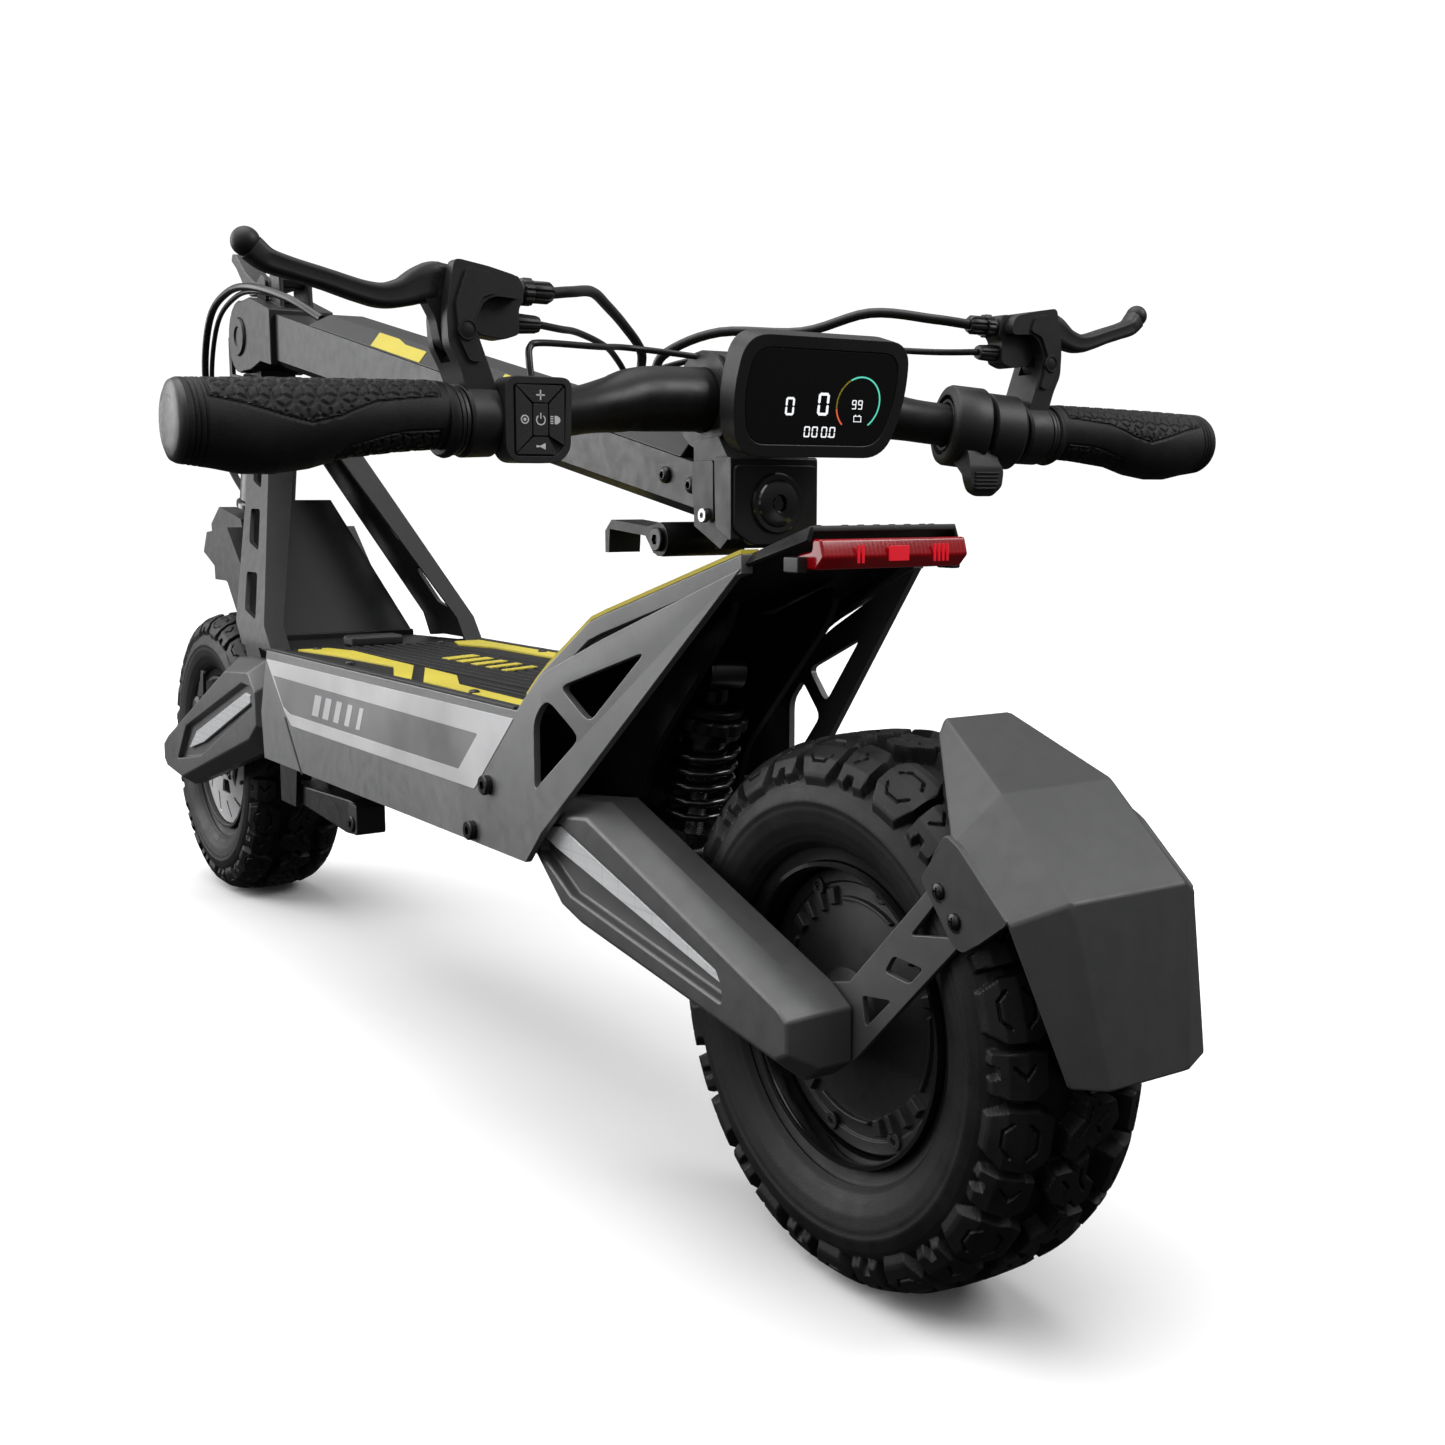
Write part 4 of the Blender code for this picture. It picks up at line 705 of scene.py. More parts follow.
def tyre_mesh():
    per = 78
    n = per * PITCHES
    rows = 92
    top, t = resample(TREAD, rows)
    low, _ = resample(CASE, rows)
    v_half = t * 1000
    v = np.concatenate([-v_half[:0:-1], v_half])
    tx = np.concatenate([-top[:0:-1, 0], top[:, 0]])
    tr = np.concatenate([top[:0:-1, 1], top[:, 1]])
    cx = np.concatenate([-low[:0:-1, 0], low[:, 0]])
    cr = np.concatenate([low[:0:-1, 1], low[:, 1]])
    ang = np.arange(n) * 2 * math.pi / n
    s = ang * 127.5
    S, Vv = np.meshgrid(s, v, indexing="ij")
    h, cut = tread_height(S, Vv)
    edge = smoothstep(np.abs(Vv), v_half[-1] - 1.0, v_half[-1])
    h = h * (1 - 0.0 * edge)
    h = np.clip(h - 0.22 * cut * (h > 0.8), 0, 1)
    xs = cx[None, :] * (1 - h) + tx[None, :] * h
    rs = cr[None, :] * (1 - h) + tr[None, :] * h
    wall = WALL
    # fine raised rings on the side wall, as moulded
    ring, _ = resample(wall, 34)
    wx = np.repeat(ring[None, :, 0], n, 0)
    wr = np.repeat(ring[None, :, 1], n, 0)
    lift = np.zeros(34)
    for rr, w, a in ((0.0985, 0.0009, 0.0006), (0.0800, 0.0008, 0.0005)):
        lift += a * np.exp(-((ring[:, 1] - rr) / w) ** 2)
    wx = wx + lift[None, :]
    X_ = np.concatenate([-wx[:, ::-1], xs, wx], 1)
    R_ = np.concatenate([wr[:, ::-1], rs, wr], 1)
    # close across the inside of the casing
    inner = np.array([(0.0262, 0.0735), (0.0300, 0.0900), (0.0250, 0.1050), (0.0, 0.1100), (-0.0250, 0.1050), (-0.0300, 0.0900), (-0.0262, 0.0735)])
    X_ = np.concatenate([X_, np.repeat(inner[None, :, 0], n, 0)], 1)
    R_ = np.concatenate([R_, np.repeat(inner[None, :, 1], n, 0)], 1)
    m = X_.shape[1]
    co = np.stack([X_, R_ * np.sin(ang)[:, None], R_ * np.cos(ang)[:, None]], 2).reshape(-1, 3)
    i = np.arange(n)[:, None] * m
    j = (np.arange(n)[:, None] + 1) % n * m
    k = np.arange(m)[None, :]
    k2 = (k + 1) % m
    quads = np.stack([i + k, i + k2, j + k2, j + k], 2).reshape(-1, 4)
    me = bpy.data.meshes.new("tyre")
    me.vertices.add(len(co))
    me.vertices.foreach_set("co", co.astype(np.float32).ravel())
    me.loops.add(quads.size)
    me.loops.foreach_set("vertex_index", quads.ravel().astype(np.int32))
    me.polygons.add(len(quads))
    me.polygons.foreach_set("loop_start", np.arange(0, quads.size, 4, dtype=np.int32))
    me.update(calc_edges=True)
    me.validate()
    bm = to_bm(me)
    bmesh.ops.recalc_face_normals(bm, faces=bm.faces)
    return from_bm(bm, "tyre")


TYRE = tyre_mesh()
for body, y in WHEELS:
    end = body.split("_")[0]
    me = TYRE.copy()
    me.transform(Matrix.Rotation(0.06 if end == "rear" else 0.3, 4, "X"))
    me.transform(Matrix.Translation((0, y, AXLE_Z)))
    add(end + "_tyre_tread", me, "tyre", body, replaces=(end + "_tyre",), smooth=38)

# ---------------------------------------------------------------- hub motor: rim barrel, covers with raised pads and screw bosses
def about_axle(me, y, spin=0.0):
    """Moves a mesh built about +Z at the origin so that its +Z is +X on the wheel's axle."""
    me = me.copy()
    me.transform(Matrix.Translation((0, y, AXLE_Z)) @ Matrix.Rotation(math.pi / 2, 4, "Y") @ Matrix.Rotation(spin, 4, "Z"))
    return me


def wedge(r0, r1, a0, a1, z0, z1, taper=0.0011, n=6):
    """A raised pad between two radii and two angles, its sides leaning in towards its top."""
    bm = bmesh.new()
    rows = []
    for z, t in ((z0, 0.0), (z1, taper)):
        ring = []
        for r, sgn in ((r0 + t, 1), (r1 - t, -1)):
            pts = []
            for k in range(n + 1):
                u = k / n
                da = t / r
                a = (a0 + da) + (a1 - a0 - 2 * da) * u
                pts.append((r * math.cos(a), r * math.sin(a), z))
            ring += pts if sgn == 1 else pts[::-1]
        rows.append([bm.verts.new(p) for p in ring])
    a, b = rows
    m = len(a)
    for k in range(m):
        bm.faces.new((a[k], a[(k + 1) % m], b[(k + 1) % m], b[k]))
    bm.faces.new(a[::-1])
    bm.faces.new(b)
    bmesh.ops.recalc_face_normals(bm, faces=bm.faces)
    return from_bm(bm)


def motor_side(y, sgn, x_off=0.0):
    """One cover of the hub motor. Heights are measured along the axle."""
    out = []
    dish = turned([(0.0050, 0.0668), (0.0195, 0.0668), (0.0212, 0.0655), (0.0212, 0.0600), (0.0200, 0.0592), (0.0206, 0.0500), (0.0238, 0.0300), (0.0262, 0.0205),
                   (0.0300, 0.0180), (0.0340, 0.0165), (0.0346, 0.0120), (0.0346, 0.0086), (0.0050, 0.0086)], steps=96, closed=True)
    out.append(dish)
    pads = []
    for group in range(4):
        base = group * math.pi / 2 + 0.12
        for k, w in enumerate((0.13, 0.10, 0.10, 0.13)):
            a = base + k * 0.195
            pads.append(wedge(0.0475 + 0.0012 * (k in (0, 3)), 0.0580, a, a + w, 0.0195, 0.0232))
        a = base + 0.80
        pads.append(wedge(0.0500, 0.0535, a, base + math.pi / 2 - 0.05, 0.0195, 0.0226))
    out += pads
    for k in range(8):
        a = k * math.pi / 4 + 0.35
        c = (0.0602 * math.cos(a), 0.0602 * math.sin(a))
        out.append(turned([(0.0180, 0), (0.0180, 0.0046), (0.0222, 0.0044), (0.0226, 0.0040), (0.0226, 0.0019), (0.0195, 0.0019), (0.0195, 0)], (c[0], c[1], 0), steps=20))
    me = join(out)
    if sgn < 0:
        me.transform(Matrix.Rotation(math.pi, 4, "X"))
    return about_axle(me, y, 0.15)


RIM_RING = [(0.0335, 0.0700), (0.0335, 0.0682), (0.0322, 0.0672), (0.0240, 0.0672), (0.0090, 0.0672), (-0.0090, 0.0672), (-0.0240, 0.0672), (-0.0322, 0.0672), (-0.0335, 0.0682),
            (-0.0335, 0.0700), (-0.0290, 0.0700), (0.0290, 0.0700)]
barrel = about_axle(turned(RIM_RING, steps=96, closed=True), 0)
add("rear_rim_barrel", barrel, "gloss", "rear_wheel", smooth=40)
for sgn, tag in ((1, "left"), (-1, "right")):
    add(f"motor_cover_{tag}", motor_side(0, sgn), "motor", "rear_wheel", bevel=0.0003, seg=1, angle=40, smooth=35,
        replaces=("rear_hub_motor",) if sgn > 0 else ())
    screws = []
    for k in range(8):
        a = k * math.pi / 4 + 0.35
        s = screw((0.0602 * math.cos(a), 0.0602 * math.sin(a), 0.0212), (0, 0, 1), 0.0017, 0.0010, head="cap")
        screws.append(s)
    me = join(screws)
    if sgn < 0:
        me.transform(Matrix.Rotation(math.pi, 4, "X"))
    add(f"motor_cover_screws_{tag}", about_axle(me, 0, 0.15), "darksteel", "rear_wheel")
# valve stem in the rim well
add("rear_valve", about_axle(join([turned([(0.0245, 0), (0.0245, 0.0026), (0.0275, 0.0026), (0.0280, 0.0020), (0.0350, 0.0020), (0.0352, 0), ], (0.0640, 0.0, 0), steps=16)]), 0, 2.3),
    "darksteel", "rear_wheel")

# ---------------------------------------------------------------- rear arms: faceted covers with a recessed reflector
def recess(outline_pts, x_out, depth, flare=0.0015):
    """A cutter whose sides lean in: the outline at the face, a smaller one at the floor."""
    c = Vector((sum(p[0] for p in outline_pts) / len(outline_pts), sum(p[1] for p in outline_pts) / len(outline_pts)))
    def ring(x, k):
        out = []
        for y, z in outline_pts:
            d = Vector((y, z)) - c
            d = d * (1 - k / max(d.length, 1e-6))
            out.append((x, c.x + d.x, c.y + d.y))
        return out
    return loft([ring(x_out + 0.004, -flare * 0.5), ring(x_out, 0.0), ring(x_out - depth, flare)])


REAR_RECESS = [(-0.2040, 0.1868), (-0.1820, 0.1900), (-0.0330, 0.1478), (-0.0290, 0.1420), (-0.0275, 0.1335), (-0.1700, 0.1545), (-0.2040, 0.1720)]
REAR_REFL = [(-0.2020, 0.1855), (-0.1825, 0.1885), (-0.0345, 0.1467), (-0.0305, 0.1415), (-0.1880, 0.1760), (-0.2020, 0.1800)]
for sgn, tag in ((1, "left"), (-1, "right")):
    cut = recess(REAR_RECESS, 0.0776, 0.0060)
    refl = prism(REAR_REFL, 0.0726, 0.0756)
    bolt = rod((0.0735, -0.2400, 0.1870), X, 0.0062, 0.004, 24)
    if sgn < 0:
        cut, refl = mirror(cut), mirror(refl)
    soften(f"rear_arm_{tag}", "arm", bevel=0.0016, seg=3, cuts=[cut])
    add(f"rear_arm_reflector_{tag}", refl, "reflector", "rear_arm", bevel=0.0006, seg=2)

soften("rear_arm_bridge", "char", bevel=0.0008)
soften("rear_axle", "steel", bevel=0.0008)
for sgn, tag in ((1, "left"), (-1, "right")):
    x = sgn * 0.0605
    nut = turned([(0, 0), (0, 0.0098), (0.0060, 0.0098), (0.0072, 0.0088), (0.0072, 0.0052), (0.0086, 0.0050), (0.0094, 0.0040), (0.0094, 0)], (sgn * 0.0640, 0, AXLE_Z), (sgn, 0, 0), 6)

# ---------------------------------------------------------------- fender brackets and mudguard
for sgn, tag in ((1, "left"), (-1, "right")):
    soften(f"fender_bracket_{tag}", "arm", bevel=0.0005, seg=2)
    heads = join([screw((sgn * 0.0505, y, z), (sgn, 0, 0), 0.0036, 0.0022, "cross", "pan") for y, z in ((0.0890, 0.2058), (0.0985, 0.1955))])
    washers = join([turned([(0, 0.0018), (0, 0.0050), (0.0008, 0.0050), (0.0009, 0.0018)], (sgn * 0.0498, y, z), (sgn, 0, 0), 28, closed=True) for y, z in ((0.0890, 0.2058), (0.0985, 0.1955))])
    tab = prism(rounded([(0.0760, 0.2085), (0.0850, 0.2185), (0.0935, 0.2300), (0.1010, 0.2262), (0.1300, 0.2015), (0.1120, 0.1890), (0.1020, 0.1830), (0.0960, 0.1850)], 0.0025), 0.0464, 0.0500)
    for v in tab.vertices:
        v.co.x += 0.0026 * float(smoothstep(np.array((v.co.y - 0.086) * 0.7 + (v.co.z - 0.198) * 0.7), 0.004, 0.020))
    if sgn < 0:
        tab = mirror(tab)
    add(f"fender_tab_{tag}", tab, "hood", "rear_arm", bevel=0.0006)
    add(f"fender_screws_{tag}", heads, "darksteel", "rear_arm")
    add(f"fender_washers_{tag}", washers, "darksteel", "rear_arm")
soften("rear_mudguard", "hood", bevel=0.0022, seg=4, angle=8, smooth=40)
soften("shock_mount", "dark", bevel=0.001)
soften("tail_light", "red", bevel=0.0012, seg=3)
soften("kick_plate", "dark", bevel=0.0007)
for tag in ("left", "right"):
    soften(f"side_plate_{tag}", "plate", bevel=0.0006, seg=2)
    soften(f"neck_post_{tag}", "char", bevel=0.0008)
soften("deck_tub", "dark", bevel=0.001)
soften("deck_plate", "deck", bevel=0.0008)
soften("neck_panel", "char", bevel=0.0006)
soften("head_tube", "silver", bevel=0.0008)
soften("kickstand_leg", "dark", bevel=0.0016, seg=3)
soften("shock_body", "gloss", bevel=0.0006)
soften("shock_rod", "steel", bevel=0.0006)
add("shock_coil", node_mesh("shock_spring"), "coil", "shock_upper", smooth=60, replaces=("shock_spring",),
    blend=("shock_upper", "shock_lower", (0, -0.1566 + DY, 0.2360), (0, -0.1700 + DY, 0.1890)))
soften("fork_yoke", "char", bevel=0.0014)
soften("front_pivot_shaft", "steel", bevel=0.0008)
soften("front_axle", "steel", bevel=0.0008)
soften("brake_caliper", "dark", bevel=0.001)
soften("front_rim", "motor", bevel=0.0006)
soften("fold_base", "char", bevel=0.0008)
soften("fold_pin", "steel", bevel=0.0008)
soften("fold_latch", "char", bevel=0.0012)
soften("stem_foot", "char", bevel=0.0016, seg=3)
soften("stem_tube", "stem", bevel=0.0012)
soften("stem_cover", "plastic", bevel=0.0010)
soften("stem_head", "char", bevel=0.0010)
soften("folding_hook", "char", bevel=0.0010)
LOOP = [(0.0100, -0.6880, 0.4961), (0.0220, -0.7300, 0.5150), (0.0330, -0.7900, 0.5290), (0.0335, -0.8500, 0.5290), (0.0310, -0.9050, 0.5130),
        (0.0260, -0.9420, 0.4700), (0.0180, -0.9500, 0.4200), (0.0080, -0.9330, 0.3820), (0.0000, -0.9170, 0.3590)]
strands = [pipe(curve(LOOP, 90), 0.0031, 14)]
strands.append(pipe(curve([(x - 0.0050 * math.sin(math.pi * k / 8), y + 0.0040 * math.sin(math.pi * k / 8), z - 0.0052 * math.sin(math.pi * k / 8)) for k, (x, y, z) in enumerate(LOOP)], 90), 0.0021, 12))
add("front_cables", join(strands), "cable", "stem", smooth=60, replaces=("front_cable_loop",),
    blend=("steer", "stem", (0, -0.930 + DY, 0.420), (0, -0.740 + DY, 0.500)))
soften("battery_pack", "plastic", bevel=0.001)

# ---------------------------------------------------------------- handlebar: grips
BAR_HALF = [(0.0, -0.125, 0.408), (0.050, -0.125, 0.408), (0.080, -0.1190, 0.4040), (0.105, -0.1100, 0.4000), (0.130, -0.1000, 0.3970),
            (0.152, -0.0930, 0.3945), (0.220, -0.0895, 0.3920), (0.296, -0.0870, 0.3895)]


def bar(x):
    """The bar's centre at a distance x from the middle, on the rider's left."""
    for a, b in zip(BAR_HALF, BAR_HALF[1:]):
        if x <= b[0]:
            t = (x - a[0]) / (b[0] - a[0])
            return Vector(a).lerp(Vector(b), t)
    return Vector(BAR_HALF[-1])


def bar_dir(x):
    return (bar(min(x + 0.004, 0.295)) - bar(x - 0.004)).normalized()


def star_lines(u, v, a):
    """Distance to a lattice of short spokes that meet in six-pointed stars; a is the lattice step."""
    best = np.full(u.shape, 1e9)
    e2 = a * math.sqrt(3) / 2
    j0 = np.floor(v / e2)
    length = a / math.sqrt(3)
    for dj in (0, 1):
        j = j0 + dj
        i0 = np.floor((u - j * a / 2) / a)
        for di in (0, 1):
            cx = (i0 + di) * a + j * a / 2
            cy = j * e2
            for k in range(6):
                ang = math.pi / 6 + k * math.pi / 3
                ux, uy = math.cos(ang), math.sin(ang)
                t = np.clip((u - cx) * ux + (v - cy) * uy, 0.14 * length, 0.80 * length)
                best = np.minimum(best, np.hypot(u - cx - t * ux, v - cy - t * uy))
    return best


GRIP_X = (0.1800, 0.2925)
GRIP_TOP = [(0.1785, 0.4098), (0.187, 0.4103), (0.237, 0.4092), (0.255, 0.4088), (0.2925, 0.4074)]
GRIP_LOW = [(0.1785, 0.3812), (0.200, 0.3795), (0.225, 0.3765), (0.240, 0.3722), (0.255, 0.3700), (0.268, 0.3700), (0.280, 0.3722), (0.2925, 0.3738)]
GRIP_Y = [(0.1785, 0.0136), (0.205, 0.0142), (0.235, 0.0160), (0.262, 0.0172), (0.2925, 0.0166)]


def pick(table, x):
    xs, ys = zip(*table)
    return np.interp(x, xs, ys)


def grip_mesh():
    nx, na = 236, 184
    xs = np.linspace(*GRIP_X, nx)
    ph = np.linspace(0, 2 * math.pi, na, endpoint=False)
    Xg, Pg = np.meshgrid(xs, ph, indexing="ij")
    top, low, ry = pick(GRIP_TOP, Xg), pick(GRIP_LOW, Xg), pick(GRIP_Y, Xg)
    k = np.hanning(9)
    k /= k.sum()
    zc, hh = (top + low) / 2, (top - low) / 2
    yc = np.array([bar(float(x)).y for x in xs])[:, None] * np.ones(na)
    # mm coordinates on the surface for the moulded pattern
    deg = (np.degrees(Pg) + 180) % 360 - 180
    u, v = Xg * 1000, np.radians(deg) * 16.2
    panel_a = [(283.5, 150), (283.5, 33), (270, 25), (243, 0), (230, 4), (214, 22), (184.5, 30), (184.5, 150)]
    panel_b = [(184.5, -26), (206, -28), (226, -44), (231, -62), (226, -120), (184.5, -150)]
    cut = np.zeros(Xg.shape)
    for poly in (panel_a, panel_b):
        p = [(a, math.radians(b) * 16.2) for a, b in poly]
        d = poly_distance(u, v, p)
        cut = np.maximum(cut, 0.9 * (1 - smoothstep(np.abs(d), 0.25, 0.75)))
        lines = star_lines(u, v, 9.4)
        cut = np.maximum(cut, np.where(d > 1.0, 1 - smoothstep(lines, 0.34, 0.95), 0))
    for x0 in (285.2, 287.6, 289.6):
        cut = np.maximum(cut, 0.8 * (1 - smoothstep(np.abs(u - x0), 0.15, 0.6)))
    deep = 0.00080 * cut
    co = np.stack([Xg, yc + (ry - deep) * np.cos(Pg), zc + (hh - deep) * np.sin(Pg)], 2)
    bm_v = co.reshape(-1, 3)
    i = np.arange(nx - 1)[:, None] * na
    j = np.arange(na)[None, :]
    j2 = (j + 1) % na
    quads = np.stack([i + j, i + na + j, i + na + j2, i + j2], 2).reshape(-1, 4)
    me = bpy.data.meshes.new("grip")
    me.from_pydata(bm_v.tolist(), [], quads.tolist() + [list(range(na))[::-1], list(range((nx - 1) * na, nx * na))])
    bm = to_bm(me)
    bmesh.ops.recalc_face_normals(bm, faces=bm.faces)
    return from_bm(bm, "grip")


GRIP = grip_mesh()


def ring_on_bar(x0, x1, prof, steps=56):
    """A turned ring on the bar between x0 and x1; prof holds (share along, radius)."""
    a, b = bar(x0), bar(x1)
    n = (b - a).length
    return turned([(t * n, r) for t, r in prof], a, b - a, steps, closed=True)


end_c = Vector((0.2925, bar(0.2925).y, (0.4074 + 0.3738) / 2))
cap = turned([(-0.0005, 0), (-0.0005, 0.0166), (0.0006, 0.0166), (0.0022, 0.0158), (0.0032, 0.0135), (0.0037, 0.0090), (0.0039, 0)], end_c, X, 64)
flange = ring_on_bar(0.1768, 0.1812, [(0.0, 0.0121), (0.0, 0.0150), (0.15, 0.0160), (0.45, 0.0162), (0.8, 0.0156), (1.0, 0.0146), (1.0, 0.0121)])
lock = ring_on_bar(0.1722, 0.1766, [(0.0, 0.0121), (0.0, 0.0142), (0.10, 0.0150), (0.42, 0.0151), (0.47, 0.0144), (0.53, 0.0144), (0.58, 0.0151), (0.90, 0.0150), (1.0, 0.0142), (1.0, 0.0121)])
for sgn, tag in ((1, "left"), (-1, "right")):
    f = (lambda m: m) if sgn > 0 else mirror
    add(f"grip_{tag}_moulded", f(GRIP.copy()), "grip", "stem", smooth=45, replaces=(f"grip_{tag}",))
    add(f"grip_cap_{tag}", f(cap.copy()), "cap", "stem", smooth=45)
    add(f"grip_flange_{tag}", f(flange.copy()), "grip", "stem", smooth=40)
    add(f"grip_lock_ring_{tag}", f(lock.copy()), "plastic", "stem", smooth=40)

# ---------------------------------------------------------------- bar tube
pts = [Vector((-p[0], p[1], p[2])) for p in BAR_HALF[:0:-1]] + [Vector(p) for p in BAR_HALF[1:]]
path = curve(pts, 90)
rad = [0.0158 - 0.0047 * float(smoothstep(np.array(abs(p.x)), 0.052, 0.104)) for p in path]
add("bar_tube", pipe(path, rad, 40), "dark", "stem", smooth=50, replaces=("handlebar",))

# ---------------------------------------------------------------- brake lever housings, levers, barrel adjusters
HORN = [(0.1756, 0.4606), (0.1600, 0.4582), (0.1462, 0.4550), (0.1432, 0.4500), (0.1440, 0.4452), (0.1571, 0.4461), (0.1626, 0.4433), (0.1672, 0.4341),
        (0.1582, 0.4100), (0.1556, 0.3994), (0.1570, 0.3860), (0.1690, 0.3850), (0.1705, 0.4045), (0.1745, 0.4161), (0.1792, 0.4250), (0.1798, 0.4370),
        (0.1790, 0.4440), (0.1776, 0.4512)]
BACK = [(0.1700, 0.4590), (0.1540, 0.4560), (0.1500, 0.4460), (0.1640, 0.4420), (0.1672, 0.4341), (0.1600, 0.4130), (0.1720, 0.4130), (0.1770, 0.4260), (0.1790, 0.4440)]
LEVER_X, LEVER_Z = 0.1710, 0.4310
horn = prism(rounded(HORN, 0.0028, 3), -0.1035, -0.0820, "Y")
inlay = prism(rounded([(0.1705, 0.4572), (0.1590, 0.4552), (0.1560, 0.4475), (0.1640, 0.4450), (0.1690, 0.4345), (0.1640, 0.4180), (0.1700, 0.4180), (0.1745, 0.4270), (0.1760, 0.4420)], 0.002, 3),
              -0.0826, -0.0806, "Y")
clampring = ring_on_bar(0.1562, 0.1716, [(0.0, 0.0121), (0.0, 0.0150), (0.08, 0.0162), (0.92, 0.0162), (1.0, 0.0150), (1.0, 0.0121)], 48)
hb = boolean(horn, [inlay, clampring], "UNION")
hb = boolean(hb, [block(0.1640, 0.1900, -0.0985, -0.0885, 0.4180, 0.4640), rod((0.164, bar(0.164).y, bar(0.164).z), bar_dir(0.164), 0.0119, 0.05, 40)])
boss = prism(rounded([(0.1640, 0.4570), (0.1420, 0.4560), (0.1400, 0.4450), (0.1425, 0.4425), (0.1425, 0.4310), (0.1500, 0.4285), (0.1620, 0.4300), (0.1680, 0.4400)], 0.002, 3), -0.1000, -0.0885, "Y")
nut1 = turned([(0, 0.0030), (0, 0.0056), (0.0004, 0.0061), (0.0042, 0.0061), (0.0046, 0.0056), (0.0046, 0.0030)], (0.1385, -0.0945, 0.4502), -X, 36, closed=True)
barrel1 = turned([(0, 0), (0, 0.0044), (0.0012, 0.0050), (0.0085, 0.0050), (0.0098, 0.0042), (0.0105, 0.0036), (0.0105, 0)], (0.1340, -0.0945, 0.4504), -X, 36)
stub1 = rod((0.1400, -0.0945, 0.4501), X, 0.0048, 0.0080, 28, 0.0005)
barrel2 = turned([(0, 0), (0, 0.0042), (0.0010, 0.0046), (0.0105, 0.0040), (0.0120, 0.0034), (0.0122, 0)], (0.1425, -0.0945, 0.4364), -X, 36)


def fluted(me, p, n=10, depth=0.0006, r0=0.0036):
    """Presses flutes into the rim of a barrel that lies along X through p."""
    for v in me.vertices:
        d = Vector((0, v.co.y - p[1], v.co.z - p[2]))
        if d.length > r0:
            a = math.atan2(d.z, d.y)
            k = 1 - depth / d.length * (0.5 + 0.5 * math.cos(n * a)) ** 3
            v.co.y, v.co.z = p[1] + d.y * k, p[2] + d.z * k
    return me


barrel1 = fluted(barrel1, (0, -0.0945, 0.4504), 9, 0.0010)
barrel2 = fluted(barrel2, (0, -0.0945, 0.4364), 9, 0.0009)
pivot_cap = turned([(-0.0010, 0), (-0.0010, 0.0046), (0.0003, 0.0046), (0.0009, 0.0043), (0.0009, 0.0036), (0.0004, 0.0034), (0.0006, 0.0020), (0.0008, 0)], (LEVER_X, -0.0808, LEVER_Z), Y, 40)
pivot_back = turned([(0, 0), (0, 0.0046), (0.0012, 0.0046), (0.0016, 0.0038), (0.0016, 0)], (LEVER_X, -0.1032, LEVER_Z), -Y, 6)

BLADE = [(0.1720, -0.0935, 0.4440, 0.0080, 0.0040), (0.1790, -0.0935, 0.4505, 0.0094, 0.0042), (0.1860, -0.0937, 0.4498, 0.0080, 0.0048), (0.1945, -0.0943, 0.4462, 0.0060, 0.0052),
         (0.2035, -0.0950, 0.4444, 0.0052, 0.0054), (0.2130, -0.0960, 0.4458, 0.0047, 0.0054), (0.2270, -0.0975, 0.4497, 0.0044, 0.0053), (0.2400, -0.0990, 0.4530, 0.0044, 0.0052),
         (0.2500, -0.1003, 0.4560, 0.0048, 0.0053), (0.2560, -0.1012, 0.4605, 0.0054, 0.0054)]


def blade_mesh():
    b = np.array(BLADE)
    t = np.linspace(0, 1, len(b))
    fine = [Vector(p) for p in curve([tuple(r[:3]) for r in BLADE], 54)]
    tt = np.linspace(0, 1, len(fine))
    hs, ws = np.interp(tt, t, b[:, 3]), np.interp(tt, t, b[:, 4])
    secs = []
    for i, p in enumerate(fine):
        a, c = fine[max(0, i - 1)], fine[min(len(fine) - 1, i + 1)]
        tan = (c - a).normalized()
        n = Y.cross(tan).normalized()
        ring = []
        for k in range(28):
            ang = 2 * math.pi * k / 28
            ca, sa = math.cos(ang), math.sin(ang)
            e = 0.62
            u = abs(ca) ** e * (1 if ca > 0 else -1)
            w = abs(sa) ** e * (1 if sa > 0 else -1)
            waist = 1 - 0.16 * math.exp(-(w / 0.35) ** 2) * (1 if 4 < i < len(fine) - 6 else 0)
            ring.append(p + Y * (u * ws[i] * waist) + n * (w * hs[i]))
        secs.append(ring)
    me = loft(secs)
    return me


